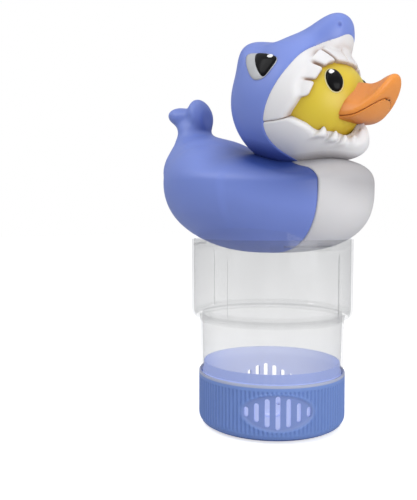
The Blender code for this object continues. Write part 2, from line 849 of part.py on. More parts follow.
def duck_head():
    obj = ball_cap("duck_head", duck_point, 118.0, 8, 28)
    mod = obj.modifiers.new("wall", "SOLIDIFY")
    mod.thickness = HEAD_T
    mod.offset = -1.0
    smooth(obj)
    paint(obj, "yellow_vinyl", YELLOW, 0.4)
    return obj


def duck_envelope():
    steps = 32
    rings = 14
    bm = bmesh.new()
    bmesh.ops.create_uvsphere(bm, u_segments=steps, v_segments=rings, radius=1.0)
    for v in bm.verts:
        grown = [v.co[k] * (DUCK_R[k] + HEAD_CLEAR) for k in range(3)]
        v.co = Vector(grown) + DUCK_C
    mesh = bpy.data.meshes.new("duck_envelope")
    bm.to_mesh(mesh)
    bm.free()
    return as_cutter(new_object("duck_envelope", mesh, CUTTERS))


def bill_parting(y):
    """Height of the line where the bill's halves meet."""
    t = (BILL_BASE_Y - y) / (BILL_BASE_Y - BILL_TIP_Y)
    return BILL_ROOT_Z + BILL_RISE * t * t


def bill_half(name, upper):
    """One half of the bill: a loft from inside the head out to a round tip."""
    stations = 9
    steps = 12
    sign = 1.0 if upper else -1.0
    verts = []
    for j in range(stations + 1):
        t = j / stations
        t = 1.0 - (1.0 - t) ** 1.7
        y = BILL_BASE_Y + (BILL_TIP_Y - BILL_BASE_Y) * t
        tip = math.sqrt(max(1.0 - t**5, 0.0))
        width = BILL_HALF_W[upper] * max(tip, 0.08)
        if upper:
            height = (BILL_TALL[1] - BILL_THIN[1] * smoothstep(t * 1.15)) * max(tip, 0.15)
        else:
            height = (BILL_TALL[0] - BILL_THIN[0] * t) * max(tip, 0.2)
        base = bill_parting(y) + sign * BILL_GAP
        for i in range(steps + 1):
            a = math.pi * i / steps
            lift = math.sin(a) ** 0.9
            verts.append(Vector((width * math.cos(a), y, base + sign * height * lift)))
    n = steps + 1
    faces = [tuple(range(n)), tuple(range(stations * n, (stations + 1) * n))]
    for j in range(stations):
        for i in range(n):
            k = (i + 1) % n
            faces.append((j * n + i, j * n + k, (j + 1) * n + k, (j + 1) * n + i))
    obj = new_object(name, mesh_from(name, verts, faces))
    smooth(obj)
    return obj


def patch(name, point, outline, inner, edge, crown):
    """A thin domed inlay lying on a rounded surface inside an outline of (alpha, beta) corners."""
    n = len(outline)
    mid_a = sum(p[0] for p in outline) / n
    mid_b = sum(p[1] for p in outline) / n
    rings = 3
    verts = []
    for layer in (0, 1):
        for j in range(rings, 0, -1):
            share = j / rings
            for a, b in outline:
                lift = inner if layer == 0 else inner + edge + crown * (1.0 - share * share)
                verts.append(point(mid_a + (a - mid_a) * share, mid_b + (b - mid_b) * share, lift))
        verts.append(point(mid_a, mid_b, inner if layer == 0 else inner + edge + crown))
    half = rings * n + 1
    faces = []
    for i in range(n):
        k = (i + 1) % n
        faces.append((i, k, half + k, half + i))
        for layer in (0, 1):
            s = layer * half
            for j in range(rings - 1):
                faces.append((s + j * n + i, s + j * n + k, s + (j + 1) * n + k, s + (j + 1) * n + i))
            faces.append((s + (rings - 1) * n + i, s + (rings - 1) * n + k, s + rings * n))
    obj = new_object(name, mesh_from(name, verts, faces))
    smooth(obj)
    return obj


def with_midpoints(outline):
    points = []
    for (a0, b0), (a1, b1) in zip(outline, outline[1:] + outline[:1]):
        points += [(a0, b0), (0.5 * (a0 + a1), 0.5 * (b0 + b1))]
    return points


def oval_outline(middle, half, lean, steps):
    points = []
    c = math.cos(lean)
    s = math.sin(lean)
    for i in range(steps):
        t = 2 * math.pi * i / steps
        u = half[0] * math.cos(t)
        v = half[1] * math.sin(t)
        points.append((middle[0] + u * c - v * s, middle[1] + u * s + v * c))
    return points


def mirrored(outline, side):
    return [(a, side * b) for a, b in outline]


def eyes():
    oval = oval_outline(DUCK_EYE_AT, DUCK_EYE_HALF, DUCK_EYE_LEAN, 16)
    white = with_midpoints(SHARK_EYE)
    black = with_midpoints(SHARK_PUPIL)
    for side, label in ((1.0, "right"), (-1.0, "left")):
        obj = patch("duck_eye_" + label, duck_point, mirrored(oval, side), 0.5 * MM, 0.4 * MM, 0.8 * MM)
        paint(obj, "black_gloss_duck_eye_" + label, BLACK, 0.08)
        obj = patch("shark_eye_" + label, head_point, mirrored(white, side), 0.7 * MM, 0.5 * MM, 0.3 * MM)
        paint(obj, "white_gloss_shark_eye_" + label, WHITE, 0.2)
        obj = patch("shark_pupil_" + label, head_point, mirrored(black, side), 2.1 * MM, 0.3 * MM, 0.4 * MM)
        paint(obj, "black_gloss_shark_pupil_" + label, BLACK, 0.08)


def build_float():
    envelope = head_envelope()
    tail_solid = tail()
    body = body_patch("body_shell", SEAM_AZ, 360.0 - SEAM_AZ, 28, envelope)
    boolean(body, tail_solid, "UNION")
    paint(body, "blue_vinyl_body", BLUE, 0.42)
    breast = body_patch("breast_shell", -SEAM_AZ, SEAM_AZ, 8, envelope)
    paint(breast, "white_vinyl_breast", WHITE, 0.45)
    hood()
    upper_jaw()
    lower_jaw()
    duck_head()
    head_cut = duck_envelope()
    for name, upper in (("bill_upper", True), ("bill_lower", False)):
        half = bill_half(name, upper)
        boolean(half, head_cut)
        paint(half, "orange_vinyl_" + name, ORANGE, 0.35)
    eyes()
    float_collar()


def build_canister():
    upper_sleeve()
    lower_sleeve()
    vent_basket()
    regulator_cup()
    pivot_pin()


build_float()
build_canister()
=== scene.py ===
"""Looks of the floating chlorine dispenser: moulded vinyl float, clear canister and ribbed base ring.

Shapes are worked out in millimetres and turned into metres when a mesh is made. +Z is up, the
canister axis is the Z axis, the duck looks towards -Y, and its right side is at -X.
"""
import math

import bmesh
import bpy
import numpy as np
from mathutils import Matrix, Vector


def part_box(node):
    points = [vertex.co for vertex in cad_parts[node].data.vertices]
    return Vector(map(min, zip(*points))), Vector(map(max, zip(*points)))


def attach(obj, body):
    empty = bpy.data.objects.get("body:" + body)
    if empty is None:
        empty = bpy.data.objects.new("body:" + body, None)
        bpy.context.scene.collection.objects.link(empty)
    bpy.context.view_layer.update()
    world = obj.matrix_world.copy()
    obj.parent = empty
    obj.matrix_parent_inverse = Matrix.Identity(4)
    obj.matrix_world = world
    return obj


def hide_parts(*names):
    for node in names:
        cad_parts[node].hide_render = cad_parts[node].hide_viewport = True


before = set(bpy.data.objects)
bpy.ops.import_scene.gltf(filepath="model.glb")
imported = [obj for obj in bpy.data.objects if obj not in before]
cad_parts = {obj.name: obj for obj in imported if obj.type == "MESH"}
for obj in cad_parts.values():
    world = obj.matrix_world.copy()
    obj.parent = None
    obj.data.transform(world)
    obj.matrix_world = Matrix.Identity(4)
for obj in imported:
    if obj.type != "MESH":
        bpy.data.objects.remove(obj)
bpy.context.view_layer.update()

MM = 0.001
DEG = math.pi / 180.0


def span(node):
    """Lowest and highest corner of a CAD node, in millimetres."""
    low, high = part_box(node)
    return np.array(low) / MM, np.array(high) / MM


CUP_HIGH = span("regulator_cup")[1]
BASKET_HIGH = span("vent_basket")[1]
LOWER_LOW, LOWER_HIGH = span("lower_sleeve")
UPPER_LOW, UPPER_HIGH = span("upper_sleeve")
COLLAR_LOW, COLLAR_HIGH = span("float_collar")
BREAST_LOW = span("breast_shell")[0]
BODY_HIGH = span("body_shell")[1]
HOOD_LOW, HOOD_HIGH = span("hood_shell")

# Float body: an egg-like oval, each pair of values is (front, rear).
BODY_A = BODY_HIGH[0]
BODY_B = 73.7
BODY_YC = 5.9
BODY_BASE = 113.6
BODY_MIDDLE = (156.0, 160.4)
BODY_RISE = (20.6, 35.5)
RISE_START = 7.4
RISE_RUN = 46.0
LOW_POWER = (2.8, 2.08)
TOP_POWER = (3.24, 2.98)
FLANK_POWER = 2.1
FLANK_SPREAD = 1.6
NECK_HOLLOW = 5.0
NECK_HOLLOW_AT = (26.0, -30.0)
NECK_HOLLOW_WIDE = (17.0, 24.0)
WING_OUT = 0.9
BODY_C = np.array((0.0, BODY_YC, 155.5))
SEAM_SIDE = 32.0
SEAM_TOP = 34.0
SEAM_GAP = 0.05
DRAIN_R = 3.0
DRAIN_TOP = 119.0
MARGIN = 3.0

# Shade painted on the float's back around the neck: centre, reach, fade and how flat its zone is.
NECK_AT = (0.0, -33.0, 171.0)
NECK_REACH = 76.0
NECK_FADE = 30.0
NECK_FLAT = 2.2

# Tail: stalk sections as (height, centre y, half width x, half depth y), then the two lobes and the
# hollow before them as (centre, radii, tilt).
TAIL = (
    (160, 48, 26.5, 29), (168, 53, 30, 28.7), (176, 58, 27.4, 24.4), (184, 62, 22, 20),
    (191, 65, 16.8, 15.7), (198, 67.5, 12.8, 12), (204, 69.5, 12, 12),
)
TAIL_FRONT = ((0.0, 61.8, 210.6), (10.8, 6.6, 11.9), -18.0)
TAIL_REAR = ((0.0, 77.9, 210.3), (11.6, 11.8, 7.0), 14.0)
TAIL_HOLLOW = ((0.0, 47.0, 208.0), (8.0, 8.0, 9.5))

# Head: a ball with a snout and a jutting lower jaw. Angles from its centre are alpha, from straight
# ahead, and turn, from the top. Edges and rims are (turn, alpha) pairs.
HEAD_C = np.array((0.0, -21.2, 210.7))
HEAD_R = np.array((44.8, 43.9, 43.0))
SNOUT_OUT = 15.1
SNOUT_ALPHA = 57.2
SNOUT_REAR = 14.3
SNOUT_FRONT = 13.5
SNOUT_TURN = 23.3
TEMPLE_IN = 6.2
TEMPLE_AT = (44.0, 42.0)
TEMPLE_WIDE = (14.0, 24.0)
JAW_OUT = 12.7
JAW_ALPHA = 36.2
JAW_SPREAD = 18.9
JAW_TURN = 33.4
BROW_OUT = 6.0
BROW_AT = (117.0, 41.8)
BROW_WIDE = (12.8, 20.0)
NOSTRIL_AT = (-9.3, -54.1, 251.6)
LID_OUT = 1.5
LID_AT = (92.0, 47.0)
LID_WIDE = (16.0, 6.0)
SADDLE_IN = 6.0
SADDLE_AT = 98.4
SADDLE_WIDE = (16.0, 40.0)
HOOD_EDGE = (
    (0, 45.5), (18, 47), (31, 54), (54, 61.5), (70, 68), (83, 75.5), (94, 82), (104, 87),
    (111, 89.6), (125, 90.3), (135, 87), (145, 82.5), (155, 78.6), (165, 77), (180, 76),
)
UPPER_RIM = ((0, 40), (22, 42.5), (32, 44.5), (58, 48.6), (74, 52.8), (84, 57), (98, 58.5), (111, 68.5))
UPPER_TIP = ((0, 27), (18, 29), (36, 34), (48, 38.5), (70, 43.8), (89, 49.2), (110, 58))
UPPER_TEETH = (0.0, 24.0, 48.0, 70.0, 89.0)
TOOTH_REACH = 41.5
PALATE_R = 38.5
LOWER_LIP = ((111, 70), (124, 57.5), (136, 52), (147, 46.5), (156, 42), (163, 37.5), (170, 31.5), (180, 23))
LOWER_GUM = ((113, 69), (121, 59), (131, 53), (141, 43.5), (153, 38), (163, 34.5), (172, 27.5), (180, 20.5))
TOOTH_TALL = 7.0
LOWER_TEETH = (
    (22.2, -51.6, 190.6), (16.9, -56.6, 188.2), (12.3, -60.4, 186.0), (7.8, -63.8, 186.2),
    (2.9, -66.4, 190.2),
)
CORNER = 113.0
HOOD_WALL = 2.6
JAW_BELOW = 0.45
JAW_TUCK = 1.5
JAW_WALL = 9.0
GUM_BELOW = 2.4

# Base ring: oval windows, slots, ribs, pale lip band and floor vents.
WINDOW_Z = 19.2
WINDOW_HALF = (23.0, 11.4)
WINDOW_AZ = (219.0, 39.0)
SLOT_PITCH = 7.9
SLOT_HALF = (10.3, 8.7, 5.8, 3.1)
SLOT_W = 3.0
CUP_R = CUP_HIGH[0]
CUP_TOP = CUP_HIGH[2]
RIBS = 110
RIB_DEPTH = 0.62
LIP_BAND_Z = 34.2
VENT_R = 28.5
STOP_R = 16.0
PEG_R = 1.8

# Canister tubes, and the three bayonet lugs of the collar with the tabs of the tube.
UPPER_R = UPPER_HIGH[0]
UPPER_IN = UPPER_R - 1.5
UPPER_Z = UPPER_LOW[2]
UPPER_TOP = UPPER_HIGH[2]
SLEEVE_TOP_R = 47.9
SLEEVE_BOTTOM_R = 47.2
FLANGE_R = LOWER_HIGH[0]
LUG_HALF = 18.0
TAB_TOP = 120.3

# Duck head and bill.
DUCK_C = np.array((0.0, -27.0, 206.5))
DUCK_R = np.array((36.0, 38.0, 33.5))
BILL_HALF = 20.0
BILL_ROUND_Y = -67.0
BILL_LENGTH = 22.0
BILL_POWER = 2.4
BILL_BEND = 0.052
BILL_BACK = -48.0
BILL_GAP = 0.03
BILL_TOP = ((50, 219), (60, 218.3), (66, 217), (71, 216), (76, 217), (80, 218.7), (84, 219.6), (90, 219))

# Eyes: where they sit as (alpha, turn), and outlines in millimetres with u forward and v up.
SHARK_AT = (97.0, 66.0)
SHARK_EYE = (
    (-10.6, 9.4), (-10.2, 4.0), (-7.2, -2.0), (-3.2, -8.0), (1.0, -12.0), (7.6, -12.0), (12.2, -6.5),
    (15.4, -0.4), (13.6, 3.0), (4.0, 7.2), (-3.0, 8.9),
)
SHARK_PUPIL = (
    (-4.2, 9.0), (-2.6, 2.0), (1.0, -4.8), (7.4, -12.2), (12.0, -6.4), (15.0, -0.4), (13.8, 2.6),
    (9.4, 4.2), (3.5, 7.0),
)
DUCK_AT = (37.3, 62.2)
DUCK_LEAN = 27.0
SIDES = (("right", 1.0), ("left", -1.0))

# Studio, lengths in metres.
CAMERA_AT = Vector((-360.3, -242.3, 135.6)) * MM
CAMERA_YAW = 39.50 * DEG
CAMERA_PITCH = -2.674 * DEG
CAMERA_LENS = 46.69
SKY_SIDE = (-0.70, -0.65, 0.30)
SKY_TONE = (0.97, 0.985, 1.0)
PURE_WHITE = (1.0, 1.0, 1.0)
LIT_POINT = (0.0, 0.0, 0.15)
SOFTBOXES = (
    ("key", (-0.75, 0.45, 1.0), (0.9, 0.7), 4.5),
    ("top", (-0.1, -0.2, 1.3), (1.0, 1.0), 2.0),
    ("front", (-0.25, -1.15, 0.35), (0.9, 0.7), 7.0),
)


# ------ implicit shapes

def smin(a, b, r):
    """Smaller of two fields, with a rounded valley of radius about r between them."""
    h = np.maximum(r - np.abs(a - b), 0.0) / r
    return np.minimum(a, b) - h * h * r * 0.25


def smax(a, b, r):
    return -smin(-a, -b, r)


def smoothstep(t):
    t = np.clip(t, 0.0, 1.0)
    return t * t * (3.0 - 2.0 * t)


def bump(value, centre, width):
    return np.exp(-(((value - centre) / width) ** 2))


def spot(a, b, at, wide):
    """Rounded bump of two coordinates."""
    return bump(a, at[0], wide[0]) * bump(b, at[1], wide[1])


def curve(points, x):
    """Smooth curve through points, held level beyond its ends."""
    px = np.array([p[0] for p in points], float)
    py = np.array([p[1] for p in points], float)
    slope = np.gradient(py, px)
    x = np.clip(x, px[0], px[-1])
    k = np.clip(np.searchsorted(px, x) - 1, 0, len(px) - 2)
    h = px[k + 1] - px[k]
    t = (x - px[k]) / h
    a = (2 * t**3 - 3 * t**2 + 1) * py[k] + (t**3 - 2 * t**2 + t) * h * slope[k]
    b = (-2 * t**3 + 3 * t**2) * py[k + 1] + (t**3 - t**2) * h * slope[k + 1]
    return a + b


def ellipsoid(p, centre, radii, tilt=0.0):
    """Distance-like field of an ellipsoid, tilted about the X axis by degrees."""
    q = p - np.array(centre, float)
    if tilt:
        c, s = math.cos(tilt * DEG), math.sin(tilt * DEG)
        q = np.stack([q[:, 0], c * q[:, 1] + s * q[:, 2], -s * q[:, 1] + c * q[:, 2]], 1)
    radii = np.array(radii, float)
    k0 = np.linalg.norm(q / radii, axis=1)
    k1 = np.linalg.norm(q / radii**2, axis=1)
    return k0 * (k0 - 1.0) / np.maximum(k1, 1e-6)


# ------ meshing

CELL_CORNERS = np.array([(i, j, k) for i in (0, 1) for j in (0, 1) for k in (0, 1)])
CELL_EDGES = [
    (a, b)
    for a in range(8)
    for b in range(a + 1, 8)
    if np.abs(CELL_CORNERS[a] - CELL_CORNERS[b]).sum() == 1
]


def sample(field, low, cell, count):
    """Field values on a grid, one slab at a time."""
    y, z = np.meshgrid(
        low[1] + cell * np.arange(count[1]), low[2] + cell * np.arange(count[2]), indexing="ij"
    )
    slab = np.empty((y.size, 3))
    slab[:, 1] = y.ravel()
    slab[:, 2] = z.ravel()
    values = np.empty(count, np.float32)
    for i in range(count[0]):
        slab[:, 0] = low[0] + cell * i
        values[i] = field(slab).reshape(y.shape)
    return values


def settle(field, verts, cell, rounds=3):
    """Moves vertices onto the surface where the field is zero."""
    h = 0.02 * cell
    for _ in range(rounds):
        value = field(verts)
        slope = np.stack(
            [(field(verts + h * e) - field(verts - h * e)) / (2 * h) for e in np.eye(3)], 1
        )
        size = np.maximum((slope**2).sum(1), 1e-4)
        move = -(value / size)[:, None] * slope
        length = np.linalg.norm(move, axis=1)
        verts = verts + move * np.minimum(1.0, 0.4 * cell / np.maximum(length, 1e-9))[:, None]
    return verts


def surface_net(field, low, high, cell):
    """Quad mesh of the surface where the field is zero; the field is negative inside."""
    low = np.array(low, float)
    count = np.ceil((np.array(high, float) - low) / cell).astype(int) + 1
    values = sample(field, low, cell, tuple(count))
    inside = values < 0
    corners_in = np.zeros(tuple(count - 1), np.uint8)
    for c in CELL_CORNERS:
        part = tuple(slice(c[k], c[k] + count[k] - 1) for k in range(3))
        corners_in += inside[part]
    cells = np.argwhere((corners_in > 0) & (corners_in < 8))
    number = np.full(tuple(count - 1), -1)
    number[tuple(cells.T)] = np.arange(len(cells))
    at_corner = np.stack([values[tuple((cells + c).T)] for c in CELL_CORNERS], 1)
    place = np.zeros((len(cells), 3))
    hits = np.zeros(len(cells))
    for a, b in CELL_EDGES:
        va, vb = at_corner[:, a], at_corner[:, b]
        cut = (va < 0) != (vb < 0)
        share = np.where(cut, va / np.where(cut, va - vb, 1.0), 0.0)
        step = CELL_CORNERS[a] + share[:, None] * (CELL_CORNERS[b] - CELL_CORNERS[a])
        place += cut[:, None] * step
        hits += cut
    verts = low + cell * (cells + place / hits[:, None])
    faces = []
    for axis in range(3):
        u, v = (axis + 1) % 3, (axis + 2) % 3
        near = [slice(1, n - 1) for n in count]
        far = list(near)
        near[axis] = slice(0, count[axis] - 1)
        far[axis] = slice(1, count[axis])
        s0, s1 = inside[tuple(near)], inside[tuple(far)]
        p = np.argwhere(s0 != s1)
        out = s0[tuple(p.T)]
        offset = np.ones(3, int)
        offset[axis] = 0
        p = p + offset
        du, dv = np.eye(3, dtype=int)[u], np.eye(3, dtype=int)[v]
        quad = np.stack([number[tuple(q.T)] for q in (p, p - du, p - du - dv, p - dv)], 1)
        quad[~out] = quad[~out][:, ::-1]
        faces.append(quad)
    return settle(field, verts, cell), np.concatenate(faces)


def new_object(name, data):
    obj = bpy.data.objects.new(name, data)
    bpy.context.scene.collection.objects.link(obj)
    return obj


def outward(bm, mesh):
    """Turns all faces outwards and hands them to a mesh."""
    bmesh.ops.recalc_face_normals(bm, faces=bm.faces)
    bm.to_mesh(mesh)
    bm.free()


def mesh_piece(name, verts, faces, material, smooth=True):
    """A shaded mesh object from millimetre points."""
    mesh = bpy.data.meshes.new(name)
    faces = faces.tolist() if isinstance(faces, np.ndarray) else faces
    mesh.from_pydata((np.asarray(verts) * MM).tolist(), [], faces)
    mesh.materials.append(material)
    if smooth:
        mesh.shade_smooth()
    mesh.update()
    return new_object(name, mesh)


def belongs(piece, body, slot, *nodes):
    """Ties a piece to its body and hides the CAD nodes it stands for; the slot argument is not used."""
    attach(piece, body)
    if nodes:
        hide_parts(*nodes)


def moulded(name, field, low, high, cell, material, slot, node):
    """A piece of the float, meshed from its field in place of one CAD node."""
    verts, faces = surface_net(field, low, high, cell)
    belongs(mesh_piece(name, verts, faces, material), "float", slot, node)


# ------ materials

class Shader:
    """Short way to add and join the nodes of a material or a world."""

    def __init__(self, name, kind="materials"):
        self.owner = getattr(bpy.data, kind).new(name)
        self.owner.use_nodes = True
        self.tree = self.owner.node_tree
        self.tree.nodes.clear()

    def feed(self, socket, value):
        """Joins an output, or a node's first one, to a socket, or sets the socket's own value."""
        if isinstance(value, bpy.types.Node):
            value = value.outputs[0]
        if hasattr(value, "is_output"):
            self.tree.links.new(value, socket)
        elif socket.type == "RGBA":
            socket.default_value = (*value, 1.0)
        else:
            socket.default_value = value

    def add(self, kind, **inputs):
        node = self.tree.nodes.new("ShaderNode" + kind)
        for key, value in inputs.items():
            if key.replace("_", " ") in node.inputs:
                self.feed(node.inputs[key.replace("_", " ")], value)
            else:
                setattr(node, key, value)
        return node

    def math(self, operation, a, b=0.0, c=0.0):
        node = self.add("Math", operation=operation)
        for socket, value in zip(node.inputs, (a, b, c)):
            self.feed(socket, value)
        return node.outputs[0]

    def mix_colour(self, share, a, b):
        node = self.add("Mix", data_type="RGBA")
        for k, value in zip((0, 6, 7), (share, a, b)):
            self.feed(node.inputs[k], value)
        return node.outputs[2]

    def drift(self, colour, share, low, high=1.0):
        """A colour that wanders between two strengths."""
        weak, strong = (tuple(c * k for c in colour) for k in (low, high))
        return self.mix_colour(share, weak, strong)

    def noise(self, scale, detail=3.0, stretch=(1.0, 1.0, 1.0)):
        where = self.add("TexCoord").outputs["Object"]
        scaled = self.add("Mapping", Vector=where, Scale=stretch)
        return self.add("TexNoise", Vector=scaled, Scale=scale, Detail=detail).outputs[0]

    def scaled(self, value, factor, offset):
        return self.math("MULTIPLY_ADD", value, factor, offset)

    def clamp(self, value, high=1.0):
        return self.math("MINIMUM", self.math("MAXIMUM", value, 0.0), high)

    def place(self):
        """The point's X, Y and Z in metres."""
        where = self.add("TexCoord").outputs["Object"]
        return self.add("SeparateXYZ", Vector=where).outputs

    def slant(self, power):
        """0 where the surface faces the camera, rising to 1 where it is seen edge on."""
        facing = self.add("LayerWeight", Blend=0.5).outputs["Facing"]
        return self.math("POWER", facing, power)

    def painted_crease_shade(self, tone, shade, near, power, own_only=False):
        """A tone that turns to its painted shade in creases, found by ambient occlusion."""
        crease = self.add("AmbientOcclusion", samples=6, Distance=near, only_local=own_only)
        return self.mix_colour(self.math("POWER", crease.outputs["AO"], power), shade, tone)

    def relief(self, strength, distance, height):
        return self.add("Bump", Strength=strength, Distance=distance, Height=height)

    def blend(self, share, a, b):
        """Mixes two surfaces."""
        node = self.add("MixShader", Fac=share)
        self.feed(node.inputs[1], a)
        self.feed(node.inputs[2], b)
        return node

    def finish(self, surface, kind="OutputMaterial"):
        self.add(kind, Surface=surface)
        return self.owner


def painted_neck_shade(s):
    """Share of painted shadow on the float's back: 1 close to the neck, where the head's shadow falls,
    fading to 0 away from it.
    """
    x, y, z = NECK_AT
    centred = s.add(
        "Mapping",
        Vector=s.add("TexCoord").outputs["Object"],
        Location=(-x * MM, -y * MM, -z * NECK_FLAT * MM),
        Scale=(1.0, 1.0, NECK_FLAT),
    )
    reach = s.add("VectorMath", operation="LENGTH", Vector=centred)
    fall = -1.0 / (NECK_FADE * MM)
    level = s.scaled(reach.outputs["Value"], fall, NECK_REACH / NECK_FADE)
    return s.math("POWER", s.clamp(level), 1.5)


def vinyl(name, colour, shade, roughness=0.42, glow=0.08, near=0.012, neck=0.0):
    """Soft moulded vinyl: faint colour drift, fine skin, painted shade in creases and, where asked, painted
    shadow around the neck.
    """
    s = Shader(name)
    tone = s.drift(colour, s.noise(22.0), 0.95, 1.04)
    # Painted shade: the tone darkens in creases, by ambient occlusion.
    tone = s.painted_crease_shade(tone, shade, near, 1.6, neck > 0.0)
    # Painted shadow of the head on the float's back around the neck.
    if neck > 0.0:
        tone = s.mix_colour(s.math("MULTIPLY", painted_neck_shade(s), neck), tone, shade)
    skin = s.scaled(s.noise(60.0, 2.0), 6.0, s.noise(1500.0, 4.0))
    shader = s.add(
        "BsdfPrincipled",
        Base_Color=tone,
        Roughness=s.scaled(s.noise(90.0, 4.0), 0.16, roughness - 0.08),
        Normal=s.relief(0.18, 0.00006, skin),
        Subsurface_Weight=glow,
        Subsurface_Radius=(0.004, 0.003, 0.002),
        Subsurface_Scale=1.0,
    )
    return s.finish(shader)


def gloss(name, colour, roughness, shine=0.5):
    """Glossy eye paint with a slight orange-peel."""
    s = Shader(name)
    shader = s.add(
        "BsdfPrincipled",
        Base_Color=s.drift(colour, s.noise(180.0, 2.0), 0.9),
        Roughness=roughness,
        Specular_IOR_Level=shine,
        Normal=s.relief(0.1, 0.00005, s.noise(420.0, 2.0)),
    )
    return s.finish(shader)


def clear(name, through, edge, haze=0.03, mirror=0.16, quiet=(0.0, 1.0)):
    """Clear plastic wall: lets light through, greyer and shinier where it is seen edge on."""
    s = Shader(name)
    slant = s.slant(3.0)
    streaks = s.noise(26.0, 2.0, (1.0, 1.0, 0.04))
    level = s.scaled(streaks, 0.14, through - 0.07)
    middle = s.add("CombineColor", Red=level, Green=level, Blue=level).outputs[0]
    tint = s.mix_colour(slant, middle, (edge, edge, edge * 1.01))
    passing = s.add("BsdfTransparent", Color=tint)
    milk = s.add("BsdfDiffuse", Color=(0.86, 0.87, 0.88))
    hazy = s.blend(haze, passing, milk)
    shine = s.add("BsdfGlossy", Color=(0.9, 0.9, 0.92), Roughness=0.09)
    wall = s.blend(s.scaled(slant, mirror, 0.015), hazy, shine)
    free = s.add("BsdfTransparent", Color=(0.985, 0.985, 0.985))
    return s.finish(s.blend(unseen_share(s, quiet), wall, free))


def unseen_share(s, quiet):
    """How far a clear wall is out of sight: back and level faces, a band of heights, passing light.

    The band is given as its middle and half its height.
    """
    geometry = s.add("NewGeometry").outputs
    upright = s.add("SeparateXYZ", Vector=geometry["True Normal"]).outputs["Z"]
    level = s.scaled(s.math("ABSOLUTE", upright), 3.0, -1.2)
    path = s.add("LightPath").outputs
    band = s.math("COMPARE", s.place()["Z"], quiet[0] * MM, quiet[1] * MM)
    share = s.clamp(level, 0.92)
    for other in (geometry["Backfacing"], path["Is Shadow Ray"], path["Is Diffuse Ray"]):
        share = s.math("MAXIMUM", share, other)
    return s.math("MAXIMUM", share, s.math("MULTIPLY", band, 0.7))


def tinted(name, colour, shade, through, painted_glow, window=None):
    """Translucent plastic: part dye-coloured surface with painted shade and glow, part light coming
    through.
    """
    s = Shader(name)
    tone = s.drift(colour, s.noise(45.0), 0.95, 1.05)
    # Painted shade in creases.
    tone = s.painted_crease_shade(tone, shade, 0.004, 1.5)
    # Without windows, as on the basket, painted shade where the wall is seen edge on.
    if window is None:
        tone = s.mix_colour(s.slant(1.3), tone, shade)
    else:
        tone = s.mix_colour(window_mask(s), tone, window)
        tone = s.mix_colour(lip_mask(s), tone, PALE_BLUE)
    # Painted glow: the emission stands in for light that comes through the plastic.
    surface = s.add(
        "BsdfPrincipled",
        Base_Color=tone,
        Roughness=0.3,
        Normal=s.relief(0.12, 0.00005, s.noise(900.0)),
        Emission_Color=tone,
        Emission_Strength=painted_glow,
    )
    inner = s.add("BsdfTranslucent", Color=tone)
    # The surface with its painted glow and the translucency, both carrying the painted shade.
    dye_and_painted_light = s.blend(0.3, surface, inner)
    open_part = s.add("BsdfTransparent", Color=tuple(0.5 + 0.5 * c for c in colour))
    return s.finish(s.blend(through, dye_and_painted_light, open_part))


def lip_mask(s):
    """1 along the ring's thin top lip and 0 below it."""
    return s.clamp(s.scaled(s.place()["Z"], 2.0 / MM, -2.0 * LIP_BAND_Z), 0.85)


def window_mask(s):
    """1 inside the ring's two oval windows, where the wall is thin, and 0 elsewhere."""
    xyz = s.place()
    a = WINDOW_AZ[1] * DEG
    half_wide, half_high = WINDOW_HALF
    across = s.math("MULTIPLY", xyz["X"], -math.sin(a) / (half_wide * MM))
    across = s.scaled(xyz["Y"], math.cos(a) / (half_wide * MM), across)
    up = s.scaled(xyz["Z"], 1.0 / (half_high * MM), -WINDOW_Z / half_high)
    level = s.math("ADD", s.math("MULTIPLY", across, across), s.math("MULTIPLY", up, up))
    return s.clamp(s.scaled(level, -4.0, 4.2))


# Paint and plastic colours. Each *_SHADE colour is painted shade: what a tone turns to in creases, around
# the neck, or where seen edge on.
BLUE = (0.190, 0.268, 0.690)
BLUE_SHADE = (0.06, 0.10, 0.38)
BODY_SHADE = (0.02, 0.05, 0.24)
BREAST = (0.70, 0.69, 0.70)
BREAST_SHADE = (0.30, 0.29, 0.31)
WHITE = (0.80, 0.79, 0.80)
WHITE_SHADE = (0.50, 0.47, 0.48)
# Warm brown painted shade inside the mouth, standing in for yellow light bounced off the duck's face.
JAW_SHADE = (0.42, 0.28, 0.21)
YELLOW = (0.72, 0.545, 0.035)
YELLOW_SHADE = (0.46, 0.28, 0.015)
ORANGE = (0.88, 0.31, 0.05)
ORANGE_SHADE = (0.50, 0.12, 0.015)
RING_BLUE = (0.24, 0.38, 0.78)
RING_SHADE = (0.05, 0.09, 0.34)
PALE_BLUE = (0.60, 0.62, 0.70)
PALE_SHADE = (0.30, 0.36, 0.60)
WINDOW_BLUE = (0.27, 0.36, 0.66)

# near is how far the painted crease shade reaches; neck weighs the painted shadow of the head around the
# neck.
vinyl_blue = vinyl("vinyl_blue", BLUE, BLUE_SHADE)
vinyl_jaw = vinyl("vinyl_jaw", WHITE, JAW_SHADE, near=0.009)
vinyl_body = vinyl("vinyl_body", BLUE, BODY_SHADE, near=0.020, neck=0.95)
vinyl_breast = vinyl("vinyl_breast", BREAST, BREAST_SHADE, near=0.020, neck=0.55)
vinyl_lip = vinyl("vinyl_lip", WHITE, WHITE_SHADE, near=0.006)
vinyl_yellow = vinyl("vinyl_yellow", YELLOW, YELLOW_SHADE, 0.38, 0.12)
vinyl_orange = vinyl("vinyl_orange", ORANGE, ORANGE_SHADE, 0.34, 0.10, near=0.03)
gloss_black = gloss("gloss_black", (0.006, 0.006, 0.007), 0.2, 0.09)
